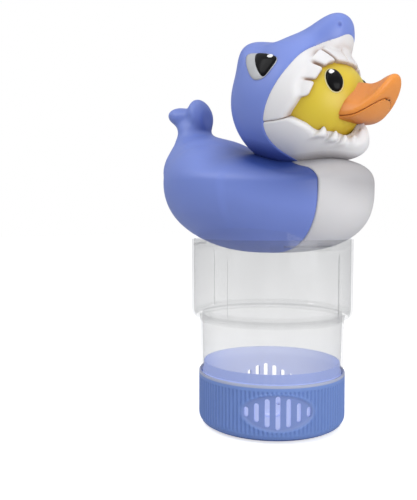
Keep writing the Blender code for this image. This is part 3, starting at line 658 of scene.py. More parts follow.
# The shark's eye white is painted grey: its own white darkened by painted shade from the brow above it.
gloss_white_shaded = gloss("gloss_white_shaded", (0.53, 0.54, 0.56), 0.3)
gloss_glint = gloss("gloss_glint", (0.95, 0.95, 0.95), 0.3)
gloss_rim = gloss("gloss_rim", (0.84, 0.76, 0.40), 0.3)
clear_upper = clear("clear_upper", 0.785, 0.72, quiet=(70.4, 1.6))
clear_lower = clear("clear_lower", 0.79, 0.70, quiet=(76.0, 1.8))
clear_collar = clear("clear_collar", 0.99, 0.97, 0.002, 0.01)
# The last number of each tinted plastic is its painted glow.
ring_plastic = tinted("ring_plastic", RING_BLUE, RING_SHADE, 0.08, 0.10, WINDOW_BLUE)
basket_plastic = tinted("basket_plastic", PALE_BLUE, PALE_SHADE, 0.25, 1.0)


# ------ float body

def between(pair, share):
    return pair[0] + (pair[1] - pair[0]) * share


def backwards(y):
    """How far back a point is, from 0 at the float's front to 1 at its rear."""
    return smoothstep((y + 40.0) / 80.0)


def plan(x, y):
    """0 in the float's middle and 1 on its outline, seen from above."""
    return np.sqrt((x / BODY_A) ** 2 + ((y - BODY_YC) / BODY_B) ** 2)


def roundness(powers, x, y):
    """Power of the float's section, from a (front, rear) pair that gives way on the flanks."""
    flank = smoothstep(FLANK_SPREAD * (x / BODY_A) ** 2 / np.maximum(plan(x, y) ** 2, 1e-6))
    return between((between(powers, backwards(y)), FLANK_POWER), flank)


def oval_body(p):
    """The float's closed oval, without its tail."""
    x, y, z = p.T
    middle = between(BODY_MIDDLE, backwards(y))
    up = z > middle
    hollow = NECK_HOLLOW * spot(np.abs(x), y, NECK_HOLLOW_AT, NECK_HOLLOW_WIDE)
    z = z + hollow * smoothstep((z - middle) / 8.0)
    rise = between(BODY_RISE, smoothstep((y - RISE_START) / RISE_RUN))
    height = np.where(up, rise, middle - BODY_BASE)
    power = np.where(up, roundness(TOP_POWER, x, y), roundness(LOW_POWER, x, y))
    level = (plan(x, y) ** power + (np.abs(z - middle) / height) ** power) ** (1.0 / power)
    reach = np.linalg.norm(p - BODY_C, axis=1)
    return reach * (1.0 - 1.0 / np.maximum(level, 0.05)) - wing(y, z)


def wing(y, z):
    """Low moulded wing on each flank, with a soft front edge."""
    front = smoothstep((y + 7.0) / 7.0) * smoothstep((72.0 - y) / 40.0)
    return WING_OUT * front * smoothstep((172.0 - z) / 12.0) * smoothstep((z - 126.0) / 16.0)


def dome_height(x, y):
    """Height of the float's underside."""
    middle = between(BODY_MIDDLE, backwards(y))
    power = roundness(LOW_POWER, x, y)
    return middle - (middle - BODY_BASE) * (1.0 - plan(x, y) ** power) ** (1.0 / power)


def tail(p):
    """Stalk with a tall lobe leaning forward and a shorter one leaning back."""
    x, y, z = p.T
    centre, wide, deep = (curve([(s[0], s[k]) for s in TAIL], z) for k in (1, 2, 3))
    stalk = (np.hypot(x / wide, (y - centre) / deep) - 1.0) * np.minimum(wide, deep)
    stalk = smax(smax(stalk, z - 205.0, 6.0), 158.0 - z, 2.0)
    lobes = smin(ellipsoid(p, *TAIL_FRONT), ellipsoid(p, *TAIL_REAR), 8.0)
    return smax(smin(stalk, lobes, 5.0), -ellipsoid(p, *TAIL_HOLLOW), 4.0)


def seam_gap(p):
    """Distance from the seam between the white breast and the blue body; negative in front."""
    x, y, z = p.T
    turn = np.degrees(np.arctan2(np.abs(x), -y))
    seam = SEAM_SIDE + (SEAM_TOP - SEAM_SIDE) * smoothstep((z - 158.0) / 16.0)
    return (turn - seam) * DEG * np.hypot(x, y)


def blue_body(p):
    whole = smin(oval_body(p), tail(p), 11.0)
    drain = smax(np.hypot(p[:, 0], p[:, 1]) - DRAIN_R, p[:, 2] - DRAIN_TOP, 0.5)
    whole = smax(whole, -drain, 0.8)
    return smax(whole, SEAM_GAP - seam_gap(p), 0.9)


def white_breast(p):
    return smax(oval_body(p) + SEAM_GAP, seam_gap(p) + SEAM_GAP, 0.9)


def build_body():
    low = (-BODY_A - MARGIN, BREAST_LOW[1] - MARGIN, 115.0 - MARGIN)
    high = (BODY_A + MARGIN, BODY_HIGH[1] + MARGIN, BODY_HIGH[2] + MARGIN)
    moulded("body", blue_body, low, high, 1.0, vinyl_body, "blue_vinyl_body", "body_shell")
    high = (BODY_A, 0.0, 180.0)
    moulded("breast", white_breast, low, high, 1.0, vinyl_breast, "white_vinyl_breast", "breast_shell")


# ------ head

def head_place(p):
    """Distance from the head's centre, angle from straight ahead, turn from the top, and skin radius."""
    d = p - HEAD_C
    r = np.maximum(np.linalg.norm(d, axis=1), 1e-6)
    alpha = np.degrees(np.arccos(np.clip(-d[:, 1] / r, -1.0, 1.0)))
    turn = np.degrees(np.abs(np.arctan2(-d[:, 0], d[:, 2])))
    return r, alpha, turn, head_radius(alpha, turn, d / r[:, None])


def head_radius(alpha, turn, d):
    base = 1.0 / np.sqrt(((d / HEAD_R) ** 2).sum(1))
    width = np.where(alpha < SNOUT_ALPHA, SNOUT_FRONT, SNOUT_REAR)
    snout = SNOUT_OUT * bump(alpha, SNOUT_ALPHA, width) * np.exp(-((turn / SNOUT_TURN) ** 3))
    temple = TEMPLE_IN * spot(alpha, turn, TEMPLE_AT, TEMPLE_WIDE)
    jaw = JAW_OUT * spot(alpha, turn, (JAW_ALPHA, 180.0), (JAW_SPREAD, JAW_TURN))
    brow = BROW_OUT * spot(alpha, turn, BROW_AT, BROW_WIDE)
    saddle = SADDLE_IN * spot(alpha, turn, (SADDLE_AT, 0.0), SADDLE_WIDE)
    lid = LID_OUT * spot(alpha, turn, LID_AT, LID_WIDE)
    return base + snout + jaw + brow + lid - temple - saddle


def short_of(edge, place, more=0.0):
    """Millimetres from a head place back to an edge."""
    r, alpha, turn, _ = place
    return (curve(edge, turn) + more - alpha) * DEG * r


def sideways(r, alpha):
    """Millimetres to one degree of turn."""
    return DEG * r * np.sin(alpha * DEG)


def hood(p):
    place = head_place(p)
    outer = place[0] - place[3]
    right_side = p.copy()
    right_side[:, 0] = -np.abs(p[:, 0])
    outer = smax(outer, -ellipsoid(right_side, NOSTRIL_AT, (1.3, 1.3, 1.3)), 1.2)
    shell = smax(outer, -(outer + HOOD_WALL), 0.2)
    return smax(shell, short_of(HOOD_EDGE, place), 1.6)


def thickness(shape, skin, r, inner, rounding):
    """Keeps only what lies within a depth below the skin."""
    return smax(shape, skin - inner - r, rounding)


def jaw_depth(skin):
    """How far below the skin the upper jaw goes, so that it always reaches the palate."""
    return np.maximum(8.5, skin - PALATE_R + 2.5)


def upper_teeth(place, skin):
    """Blocky teeth behind the upper lip, widest at their roots."""
    r, alpha, turn, _ = place
    side = np.min([np.abs(turn - centre) for centre in UPPER_TEETH], axis=0) * sideways(r, alpha)
    free = short_of(UPPER_TIP, place)
    tooth = smax(side - 4.1 + 0.16 * free, free, 2.0)
    tooth = smax(tooth, r - np.clip(skin - 2.2, TOOTH_REACH, TOOTH_REACH + 1.5), 1.6)
    root = -short_of(UPPER_RIM, place, 6.0)
    return smax(thickness(tooth, skin, r, jaw_depth(skin), 1.5), root, 1.0)


def upper_jaw(p):
    place = head_place(p)
    r, alpha, turn, skin = place
    skin = skin - JAW_BELOW
    soft = 4.0 + 4.0 * smoothstep((turn - 30.0) / 50.0)
    lip = smax(r - skin, short_of(UPPER_RIM, place), soft)
    lip = thickness(lip, skin, r, jaw_depth(skin), 3.0)
    roof = np.minimum(skin - 5.0, PALATE_R)
    palate = smax(r - roof, short_of(UPPER_TIP, place, 3.5), 1.0)
    palate = smax(palate, roof - 2.5 - r, 0.6)
    behind = -short_of(HOOD_EDGE, place, JAW_TUCK)
    below = (turn - CORNER) * sideways(r, alpha)
    lip = smax(smax(smin(lip, palate, 2.0), behind, 0.5), below, 1.4)
    teeth = np.maximum(upper_teeth(place, skin), below)
    return smin(lip, teeth, 1.2)


def lower_teeth(p):
    """Pointed teeth standing on the lower gum."""
    x, y, z = p.T
    teeth = np.full(len(p), 50.0)
    for across, front, tip in LOWER_TEETH:
        share = np.clip((tip - z) / TOOTH_TALL, 0.0, 1.2)
        wide = 0.3 + (3.0 + 0.07 * across) * share
        distance = np.hypot(np.abs(x) - across, y - front - 0.6 - 3.4 * share**2) - wide
        cone = smax(smax(0.85 * distance, z - tip, 1.4), tip - TOOTH_TALL - z, 2.5)
        teeth = smin(teeth, cone, 1.2)
    return teeth


def lower_jaw(p):
    place = head_place(p)
    r, alpha, turn, skin = place
    skin = skin - JAW_BELOW
    lip = smax(r - skin, short_of(LOWER_LIP, place), 4.5)
    lip = thickness(lip, skin, r, JAW_WALL, 4.0)
    gum = smax(r - skin + GUM_BELOW, short_of(LOWER_GUM, place), 3.0)
    gum = thickness(gum, skin, r, JAW_WALL, 3.0)
    behind = -short_of(HOOD_EDGE, place, JAW_TUCK)
    above = (CORNER - turn) * sideways(r, alpha)
    band = smax(smax(smin(lip, gum, 3.0), behind, 0.5), above, 1.4)
    return smin(band, lower_teeth(p), 2.0)


def duck_skull(p):
    return ellipsoid(p, DUCK_C, DUCK_R)


def build_head():
    low, high = HOOD_LOW - MARGIN, HOOD_HIGH + MARGIN
    moulded("hood", hood, low, high, 0.9, vinyl_blue, "blue_vinyl_hood", "hood_shell")
    low, high = (-50.0, -84.0, 190.0), (50.0, -12.0, 262.0)
    moulded("jaw_upper", upper_jaw, low, high, 0.6, vinyl_jaw, "white_vinyl_upper_jaw", "upper_jaw")
    low, high = (-50.0, -84.0, 166.0), (50.0, -12.0, 206.0)
    moulded("jaw_lower", lower_jaw, low, high, 0.6, vinyl_lip, "white_vinyl_lower_jaw", "lower_jaw")
    low, high = DUCK_C - DUCK_R - MARGIN, DUCK_C + DUCK_R + MARGIN
    moulded("duck", duck_skull, low, high, 1.0, vinyl_yellow, "yellow_vinyl", "duck_head")


# ------ bill

def bill_outline(x, y):
    """Plan view of the bill: parallel sides, then a round tip."""
    forward = np.maximum(BILL_ROUND_Y - y, 0.0) / BILL_LENGTH
    narrow = 1.8 * smoothstep((y + 70.0) / 14.0)
    across = np.abs(x) / (BILL_HALF - narrow)
    level = (across**BILL_POWER + forward**BILL_POWER) ** (1.0 / BILL_POWER)
    return (level - 1.0) * BILL_HALF


def bill_top(x, y):
    across = np.clip(np.abs(x) / (BILL_HALF - 2.0), 0.0, 1.2)
    fade = smoothstep((y + 86.0) / 10.0) * smoothstep((-y - 58.0) / 8.0)
    dish = 2.6 * np.sin(np.pi * np.clip(across, 0.0, 1.0)) ** 2 * fade
    return curve(BILL_TOP, -y) - BILL_BEND * x**2 - dish


def bill_parting(x, y):
    """Height of the line between the halves, and the steepness that goes with it."""
    ahead = np.maximum(-72.0 - y, 0.0) / 14.0
    droop = 0.022 - 0.010 * smoothstep((-66.0 - y) / 14.0)
    height = 202.6 - droop * x**2 + 9.0 * ahead**2
    return height, np.sqrt(1.0 + (2.0 * droop * x) ** 2 + (18.0 * ahead / 14.0) ** 2)


def bill_bottom(x, y):
    """Height of the underside and its steepness."""
    ahead = np.maximum(-62.0 - y, 0.0) / 17.0
    height = 192.8 + 10.3 * ahead**2 + 0.006 * x**2
    return height, np.sqrt(1.0 + (20.6 * ahead / 17.0) ** 2)


def whole_bill(p):
    """Both halves as one shape, with its height above the parting line."""
    x, y, z = p.T
    parting, steep = bill_parting(x, y)
    bottom, slope = bill_bottom(x, y)
    top = (z - bill_top(x, y)) / np.sqrt(1.0 + (2.0 * BILL_BEND * x) ** 2)
    shape = smax(smax(top, bill_outline(x, y), 4.0), (bottom - z) / slope, 4.0)
    return smax(shape, y - BILL_BACK, 1.0), (z - parting) / steep


def bill_upper(p):
    shape, above = whole_bill(p)
    return smax(shape, BILL_GAP - above, 1.2)


def bill_lower(p):
    shape, above = whole_bill(p)
    return smax(shape, above + BILL_GAP, 0.8)


def build_bill():
    low, high = (-24.0, -93.0, 188.0), (24.0, -44.0, 224.0)
    slot = "orange_vinyl_bill_"
    moulded("bill_top", bill_upper, low, high, 0.6, vinyl_orange, slot + "upper", "bill_upper")
    moulded("bill_base", bill_lower, low, high, 0.6, vinyl_orange, slot + "lower", "bill_lower")


# ------ eyes

def round_off(outline):
    """Closed outline with its corners cut back again and again until they are round."""
    points = np.array(outline, float)
    for _ in range(4):
        after = np.roll(points, -1, axis=0)
        points = np.stack([points + 0.25 * (after - points), after + 0.25 * (points - after)], 1)
        points = points.reshape(-1, 2)
    return points


def oval(half_u, half_v, lean=0.0, centre=(0.0, 0.0), steps=64):
    a = np.linspace(0.0, 2.0 * math.pi, steps, endpoint=False)
    u, v = half_u * np.cos(a), half_v * np.sin(a)
    c, s = math.cos(lean * DEG), math.sin(lean * DEG)
    return np.stack([centre[0] + c * u - s * v, centre[1] + s * u + c * v], 1)


def head_skin(d):
    return HEAD_C + d * head_place(HEAD_C + d)[3][:, None]


def duck_skin(d):
    return DUCK_C + d / np.sqrt(((d / DUCK_R) ** 2).sum(1))[:, None]


def inlay(name, skin, radius, alpha, turn, side, outline, lift, crown, material):
    """A domed patch on a rounded skin. The outline is in millimetres, u forward and v up."""
    a, t = alpha * DEG, turn * DEG
    n = np.array((-math.sin(a) * math.sin(t), -math.cos(a), math.sin(a) * math.cos(t)))
    forward = np.array((math.cos(a) * math.sin(t), -math.sin(a), -math.cos(a) * math.cos(t)))
    upward = np.array((math.cos(t), 0.0, math.sin(t)))
    middle = outline.mean(0)
    rings, steps = 10, len(outline)

    def ring(share):
        flat = middle + (outline - middle) * share if share else middle[None]
        d = n + (flat[:, :1] * forward + flat[:, 1:] * upward) / radius
        d /= np.linalg.norm(d, axis=1)[:, None]
        return skin(d) + d * (lift + crown * math.sqrt(1.0 - share**2))

    layers = [ring(k / rings) for k in range(rings, -1, -1)]
    inward = layers[0] - (HEAD_C if skin is head_skin else DUCK_C)
    inward /= np.linalg.norm(inward, axis=1)[:, None]
    base = layers[0] - inward * (lift + 0.8)
    verts = np.concatenate([base] + layers + [base.mean(0)[None]])
    faces = []
    top = (rings + 1) * steps
    for i in range(steps):
        j = (i + 1) % steps
        for k in range(0, top - steps, steps):
            faces.append((k + i, k + j, k + steps + j, k + steps + i))
        faces.append((top - steps + i, top - steps + j, top))
        faces.append((j, i, top + 1))
    verts[:, 0] *= side
    obj = mesh_piece(name, verts, faces, material)
    bm = bmesh.new()
    bm.from_mesh(obj.data)
    outward(bm, obj.data)
    return obj


def build_eyes():
    """Each inlay: name, eye, outline, lift, crown, material, slot, and the node it replaces."""
    shark = (head_skin, 45.0, *SHARK_AT)
    duck = (duck_skin, 37.0, *DUCK_AT)
    glint = oval(2.3, 1.8, 0.0, (9.3, 2.4))
    spark = oval(1.7, 1.7, 0.0, (-3.1, 3.3))
    white, pupil = round_off(SHARK_EYE), round_off(SHARK_PUPIL)
    rim, black = oval(5.9, 8.3, DUCK_LEAN), oval(5.3, 7.7, DUCK_LEAN)
    parts = (
        ("shark_eye_white_", shark, white, 0.4, 0.8, gloss_white_shaded, "white_gloss_shark_eye_", "shark_eye_"),
        ("shark_eye_pupil_", shark, pupil, 0.7, 1.0, gloss_black, "black_gloss_shark_pupil_",
         "shark_pupil_"),
        ("shark_eye_glint_", shark, glint, 1.35, 0.25, gloss_glint, "white_gloss_shark_eye_", None),
        ("duck_eye_rim_", duck, rim, 0.15, 0.3, gloss_rim, None, None),
        ("duck_eye_black_", duck, black, 0.3, 2.0, gloss_black, "black_gloss_duck_eye_", "duck_eye_"),
        ("duck_eye_glint_", duck, spark, 1.85, 0.25, gloss_glint, "black_gloss_duck_eye_", None),
    )
    for word, side in SIDES:
        for name, eye, outline, lift, crown, material, slot, node in parts:
            piece = inlay(name + word, *eye, side, outline, lift, crown, material)
            slot = slot + word if slot else "yellow_vinyl"
            belongs(piece, "float", slot, *([node + word] if node else []))


# ------ canister

def fillet(corners, steps=5):
    """Closed profile whose corners are cut back by their third value and rounded."""
    points = []
    n = len(corners)
    for i, (r, z, cut) in enumerate(corners):
        here = np.array((r, z))
        if cut == 0:
            points.append(here)
            continue
        before = np.array(corners[i - 1][:2]) - here
        after = np.array(corners[(i + 1) % n][:2]) - here
        start = here + before / np.linalg.norm(before) * cut
        end = here + after / np.linalg.norm(after) * cut
        for k in range(steps + 1):
            t = k / steps
            points.append((1 - t) ** 2 * start + 2 * t * (1 - t) * here + t * t * end)
    return np.array(points)


def divide(profile, longest, wall=0.0, whole=math.ceil):
    """Adds points to the stretches of a closed profile that lie beyond a radius and are long."""
    points = []
    for here, after in zip(profile, np.roll(profile, -1, axis=0)):
        parts = 1
        if min(here[0], after[0]) > wall:
            parts = max(1, whole(np.linalg.norm(after - here) / longest))
        points += [here + (after - here) * k / parts for k in range(parts)]
    return np.array(points)


def revolved(profile, steps, shape=None, lift=None):
    """Closed turned shape; shape(angle, r, z) changes the radius and lift(x, y, z) the height."""
    angle = np.arange(steps) * 2.0 * math.pi / steps
    a, r = np.meshgrid(angle, profile[:, 0], indexing="ij")
    z = np.broadcast_to(profile[:, 1], a.shape)
    if shape is not None:
        r = shape(a, r, z)
    verts = np.stack([r * np.cos(a), r * np.sin(a), z], -1).reshape(-1, 3)
    if lift is not None:
        verts[:, 2] = lift(*verts.T)
    n = len(profile)
    i, j = np.meshgrid(np.arange(steps), np.arange(n), indexing="ij")
    i2, j2 = (i + 1) % steps, (j + 1) % n
    return verts, np.stack([i * n + j, i2 * n + j, i2 * n + j2, i * n + j2], -1).reshape(-1, 4)


def turned(name, profile, steps, material, shape=None, lift=None):
    return mesh_piece(name, *revolved(profile, steps, shape, lift), material)


def compass(degrees):
    """Unit vectors outwards and sideways at an angle around the canister."""
    a = degrees * DEG
    return Vector((math.cos(a), math.sin(a), 0.0)), Vector((-math.sin(a), math.cos(a), 0.0))


def nearest_off(angle, first, step):
    """Signed degrees from an angle in radians to the nearest of evenly spaced directions."""
    return (np.degrees(angle) - first + 0.5 * step) % step - 0.5 * step


def guide(angle, r, z):
    """Inner guide ribs of the upper sleeve."""
    side = np.abs(nearest_off(angle, 0.0, 90.0)) * DEG * UPPER_IN
    up = smoothstep((z - 71.5) / 1.0) * smoothstep((113.0 - z) / 2.0)
    on_wall = (r < UPPER_IN + 0.3) & (r > UPPER_IN - 0.5)
    rib = smoothstep((2.7 - side) / 0.7) * up * on_wall
    return r - 1.4 * rib


def notch(angle, r, z):
    """Notches in the lower sleeve's flange, which run along the guide ribs."""
    side = np.abs(nearest_off(angle, 0.0, 90.0)) * DEG * FLANGE_R
    keep = smoothstep((side - 2.3) / 0.6)
    limit = SLEEVE_TOP_R + 0.05
    return np.where(r > limit, limit + (r - limit) * keep, r)


def bent_block(r_in, r_out, azimuth, half, z_low, z_high, steps=12, soft=0.35):
    """Vertices and faces of a block that follows the tube's wall, with eased corners."""
    corners = [(r_out, z_low, soft), (r_out, z_high, soft), (r_in, z_high, 0), (r_in, z_low, 0)]
    section = fillet(corners, 3)
    n = len(section)
    verts = []
    for k in range(steps + 1):
        a = (azimuth + half * math.sin(math.pi * (k / steps - 0.5))) * DEG
        verts += [(r * math.cos(a), r * math.sin(a), z) for r, z in section]
    faces = []
    for k in range(steps):
        for j in range(n):
            i = (j + 1) % n
            faces.append((k * n + j, (k + 1) * n + j, (k + 1) * n + i, k * n + i))
    faces.append(tuple(range(n))[::-1])
    faces.append(tuple(steps * n + j for j in range(n)))
    return verts, faces


def add_blocks(obj, blocks):
    """Joins separate closed blocks to a piece's mesh."""
    bm = bmesh.new()
    bm.from_mesh(obj.data)
    for verts, faces in blocks:
        made = [bm.verts.new(Vector(v) * MM) for v in verts]
        for face in faces:
            bm.faces.new([made[i] for i in face])
    outward(bm, obj.data)
    obj.data.shade_smooth()


def crisp(obj, degrees=40.0):
    """Keeps hard edges hard on a smooth-shaded piece."""
    obj.data.set_sharp_from_angle(angle=degrees * DEG)


def build_upper_sleeve():
    lip = 48.4
    lip_top = UPPER_Z + 1.6
    shoulder = UPPER_Z + 4.4
    profile = fillet([
        (UPPER_R, shoulder, 2.4), (UPPER_R, UPPER_TOP, 0.5), (UPPER_IN, UPPER_TOP, 0.5),
        (UPPER_IN, shoulder + 0.8, 2.0), (lip + 1.8, lip_top, 0.6), (lip, lip_top, 0.4),
        (lip, UPPER_Z, 0.4), (lip + 1.9, UPPER_Z, 1.0),
    ])
    obj = turned("tube_upper", divide(profile, 4.0), 480, clear_upper, guide)
    tab = (49.4, UPPER_IN + 0.2)
    tab_low = 118.9
    add_blocks(obj, [bent_block(*tab, 120.0 * k, LUG_HALF, tab_low, TAB_TOP) for k in range(3)])
    crisp(obj)
    belongs(obj, "upper_canister", "clear_plastic_upper", "upper_sleeve")


def build_lower_sleeve():
    low, high = LOWER_LOW[2], LOWER_HIGH[2]
    wall, flange = 1.5, 2.0
    profile = fillet([
        (SLEEVE_BOTTOM_R, low, 0.5), (SLEEVE_TOP_R, high - flange, 0.5),
        (FLANGE_R, high - flange, 0.6), (FLANGE_R, high, 0.6),
        (SLEEVE_TOP_R - wall, high, 0.6), (SLEEVE_BOTTOM_R - wall, low, 0.5),
    ])
    obj = turned("tube_lower", divide(profile, 4.0), 480, clear_lower, notch)
    crisp(obj)
    belongs(obj, "lower_canister", "clear_plastic_lower", "lower_sleeve")


def build_collar():
    outer, inner = 48.9, 42.0
    dome_gap = 0.5
    low = COLLAR_LOW[2]
    top = low + 8.0
    profile = fillet([
        (outer, low, 0.6), (outer, top, 0.5), (0.5 * (outer + inner), top, 0), (inner, top, 0.4),
        (inner, low, 0.5),
    ])

    def under_dome(x, y, z):
        return low + (z - low) * (dome_height(x, y) - dome_gap - low) / (top - low)

    obj = turned("collar", profile, 240, clear_collar, None, under_dome)
    reach = (outer - 0.6, COLLAR_HIGH[0])
    stop_turn, stop_half = 23.5, 3.5
    blocks = []
    for k in range(3):
        az = 120.0 * k
        blocks.append(bent_block(*reach, az, LUG_HALF, low + 0.1, low + 1.9))
        blocks.append(bent_block(*reach, az - stop_turn, stop_half, low + 0.2, TAB_TOP, 4))
    add_blocks(obj, blocks)
    crisp(obj)
    belongs(obj, "float", "clear_plastic_collar", "float_collar")


def ribbed(angle, r, z):
    """Fine vertical ribs on the ring's outer wall, with smooth oval windows let into them."""
    outside = r > CUP_R - 0.4
    wave = 0.5 - 0.5 * np.cos(RIBS * angle)
    groove = RIB_DEPTH * wave**1.5
    groove = groove * smoothstep((z - 4.6) / 2.0) * smoothstep((32.6 - z) / 1.2)
    lip = np.zeros_like(r)
    for az in WINDOW_AZ:
        arc = nearest_off(angle, az, 360.0) * DEG * CUP_R
        level = np.hypot(arc / WINDOW_HALF[0], (z - WINDOW_Z) / WINDOW_HALF[1])
        away = (level - 1.0) * 13.0
        groove = groove * smoothstep((away + 0.2) / 0.8)
        lip = lip + 0.85 * smoothstep(-away / 1.3) - 0.30 * bump(away, 0.55, 0.5)
    return np.where(outside, r - groove - lip, r)


def stadium(half_w, half_h, steps=8):
    """Outline of a slot with round ends."""
    points = []
    for sign in (1, -1):
        for k in range(steps + 1):
            a = math.pi * k / steps
            points.append((sign * half_w * math.cos(a), sign * (half_h - half_w + half_w * math.sin(a))))
    return points


def prism(bm, ends):
    """Closed block between two outlines with equally many points."""
    first, last = ([bm.verts.new(Vector(point) * MM) for point in end] for end in ends)
    bm.faces.new(first)
    bm.faces.new(last[::-1])
    for i in range(len(first)):
        j = (i + 1) % len(first)
        bm.faces.new((first[i], first[j], last[j], last[i]))


def cutter(name, blocks):
    """Cutting object made of closed blocks, each given by its two end outlines."""
    bm = bmesh.new()
    for ends in blocks:
        prism(bm, ends)
    mesh = bpy.data.meshes.new(name)
    outward(bm, mesh)
    return new_object(name, mesh)


def raised(outline, heights):
    return [[point + Vector((0, 0, z)) for point in outline] for z in heights]


def slot_blocks():
    """All window slots, reaching through the walls of the ring and the basket."""
    blocks = []
    for az in WINDOW_AZ:
        for k in range(-3, 4):
            out, side = compass(az + k * SLOT_PITCH)
            outline = stadium(0.5 * SLOT_W, SLOT_HALF[abs(k)])
            ring = [side * u + Vector((0, 0, WINDOW_Z + v)) for u, v in outline]
            blocks.append([[out * r + point for point in ring] for r in (CUP_R - 8.0, CUP_R + 4.0)])
    return blocks


def vent_blocks(*heights):
    """Ring of eight floor vents between two heights."""
    blocks = []
    for k in range(8):
        out, side = compass(22.5 + 45.0 * k)
        ring = [out * (VENT_R + v) + side * u for u, v in stadium(1.5, 4.5)]
        blocks.append(raised(ring, heights))
    return blocks


def arc_block(half, start, end, heights, steps=24):
    """Curved slot in the ring's floor that limits how far it turns."""
    outs = [compass(start + (end - start) * k / steps)[0] for k in range(steps + 1)]
    ring = [out * (STOP_R + half) for out in outs] + [out * (STOP_R - half) for out in outs[::-1]]
    return raised(ring, heights)


def cut(obj, cutters):
    """Cuts holes, applies the result and removes the cutters."""
    for tool in cutters:
        mod = obj.modifiers.new("cut", "BOOLEAN")
        mod.object = tool
        mod.solver = "EXACT"
        mod.operation = "DIFFERENCE"
    bpy.context.view_layer.update()
    shape = obj.evaluated_get(bpy.context.evaluated_depsgraph_get())
    mesh = bpy.data.meshes.new_from_object(shape)
    obj.modifiers.clear()
    obj.data = mesh
    for tool in cutters:
        bpy.data.objects.remove(tool)


def build_cup():
    hub, floor_top = 3.0, 2.0
    inner = CUP_R - 1.7
    profile = fillet([
        (hub, 0.0, 0.3), (40.0, 0.0, 0.4), (41.0, 0.6, 0.4), (CUP_R - 4.6, 0.6, 2.4),
        (CUP_R, 5.2, 2.6), (CUP_R, CUP_TOP, 0.7), (inner + 0.2, CUP_TOP, 0.5),
        (inner, floor_top, 2.0), (hub, floor_top, 0.3),
    ])
    profile = divide(profile, 0.55, CUP_R - 0.3, math.floor)
    obj = turned("base_ring", profile, RIBS * 8, ring_plastic, ribbed)
    through = (-1.0, 4.0)
    stop_slot = arc_block(PEG_R + 0.5, -68.2, 8.2, through)
    cut(obj, [
        cutter("slots", slot_blocks()),
        cutter("floor_slots", vent_blocks(*through)),
        cutter("stop_slot", [stop_slot]),
    ])
    obj.data.shade_smooth()
    crisp(obj, 50.0)
    belongs(obj, "regulator", "translucent_blue_plastic", "regulator_cup")


def build_basket():
    hub, outer, inner, spigot = 3.0, BASKET_HIGH[0], 44.2, 45.2
    low, step, top = 2.4, 36.0, BASKET_HIGH[2]
    floor_top = low + 2.0
    profile = fillet([
        (hub, low, 0.3), (outer, low, 2.6), (outer, step, 0.3), (spigot, step, 0.2),
        (spigot, top, 0.4), (inner, top, 0.4), (inner, floor_top, 2.2), (hub, floor_top, 0.3),
    ])
    obj = turned("basket", divide(profile, 6.0), 360, basket_plastic)
    cut(obj, [cutter("slots", slot_blocks()), cutter("vents", vent_blocks(1.0, 6.0))])
    peg_low, peg_top, axis_r = 0.2, low + 0.5, 0.001
    peg = [(PEG_R, peg_low, 0.4), (PEG_R, peg_top, 0), (axis_r, peg_top, 0), (axis_r, peg_low, 0)]
    verts, faces = revolved(fillet(peg), 24)
    verts[:, 0] += STOP_R
    add_blocks(obj, [(verts, faces)])
    crisp(obj, 45.0)
    belongs(obj, "lower_canister", "pale_blue_plastic", "vent_basket")


def build_pin():
    head, shaft, bore, head_tall = 6.0, 2.95, 1.2, 2.0
    low, high = span("pivot_pin")
    top, bottom = high[2], low[2]
    profile = fillet([
        (shaft, bottom, 0.4), (shaft, top - head_tall, 0.2), (head, top - head_tall, 0.4),
        (head, top, 0.9), (bore, top, 0.2), (bore, bottom, 0.2),
    ])
    obj = turned("pin", profile, 64, basket_plastic)
    crisp(obj)
    belongs(obj, "lower_canister", "white_pin_plastic", "pivot_pin")


# ------ studio

def aim(obj, forward):
    obj.rotation_mode = "QUATERNION"
    obj.rotation_quaternion = Vector(forward).to_track_quat("-Z", "Y")


def softbox(name, place, size, power):
    data = bpy.data.lights.new(name, "AREA")
    data.shape = "RECTANGLE"
    data.size, data.size_y = size
    data.energy = power
    light = new_object(name, data)
    light.location = place
    aim(light, Vector(LIT_POINT) - Vector(place))


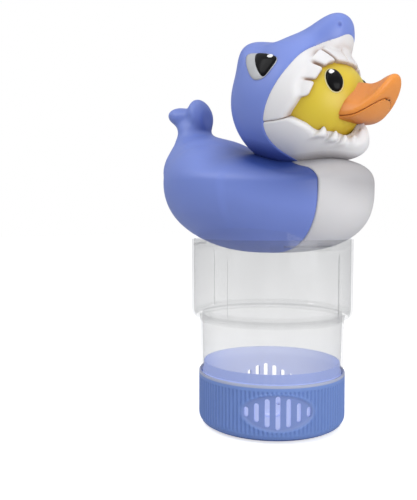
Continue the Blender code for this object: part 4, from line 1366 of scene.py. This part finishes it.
def build_studio():
    scene = bpy.context.scene
    scene.view_settings.view_transform = "Standard"
    scene.cycles.transparent_max_bounces = 40
    data = bpy.data.cameras.new("camera")
    data.lens = CAMERA_LENS
    data.sensor_width = 36.0
    camera = new_object("camera", data)
    camera.location = CAMERA_AT
    level = math.cos(CAMERA_PITCH)
    aim(camera, (level * math.cos(CAMERA_YAW), level * math.sin(CAMERA_YAW), math.sin(CAMERA_PITCH)))
    scene.camera = camera

    build_sky(scene)
    build_floor()
    for name, place, size, power in SOFTBOXES:
        softbox(name, place, size, power)


def build_sky(scene):
    """White backdrop for the camera; for the object a soft sky, brighter above and to one side."""
    s = Shader("studio", "worlds")
    way = s.add("TexCoord").outputs["Generated"]
    toward = s.add("VectorMath", operation="DOT_PRODUCT", Vector=way)
    toward.inputs[1].default_value = SKY_SIDE
    height = s.add("SeparateXYZ", Vector=way).outputs["Z"]
    level = s.add("MapRange", Value=height, From_Min=-0.5, From_Max=0.9, To_Min=0.34, To_Max=0.60)
    strength = s.scaled(toward.outputs["Value"], 0.12, level)
    lit = s.add("Background", Color=SKY_TONE, Strength=strength)
    seen = s.add("Background", Color=PURE_WHITE)
    camera_ray = s.add("LightPath").outputs["Is Camera Ray"]
    backdrop = s.blend(camera_ray, lit, seen)
    scene.world = s.finish(backdrop, "OutputWorld")


def build_floor():
    """Pale floor: bright to the camera, dimmer as a bounce light."""
    s = Shader("studio_floor")
    pale = s.add(
        "BsdfPrincipled",
        Base_Color=s.drift(PURE_WHITE, s.noise(3.0, 2.0), 0.93, 0.95),
        Roughness=0.8,
        Emission_Color=PURE_WHITE,
        Emission_Strength=0.62,
    )
    dim = s.add("BsdfDiffuse", Color=(0.58, 0.58, 0.59))
    camera_ray = s.add("LightPath").outputs["Is Camera Ray"]
    material = s.finish(s.blend(camera_ray, dim, pale))
    size, low = 4000.0, -0.3
    corners = [(-size, -size, low), (size, -size, low), (size, size, low), (-size, size, low)]
    floor = mesh_piece("floor", corners, [(0, 1, 2, 3)], material, False)


build_body()
build_head()
build_bill()
build_eyes()
build_upper_sleeve()
build_lower_sleeve()
build_collar()
build_cup()
build_basket()
build_pin()
build_studio()
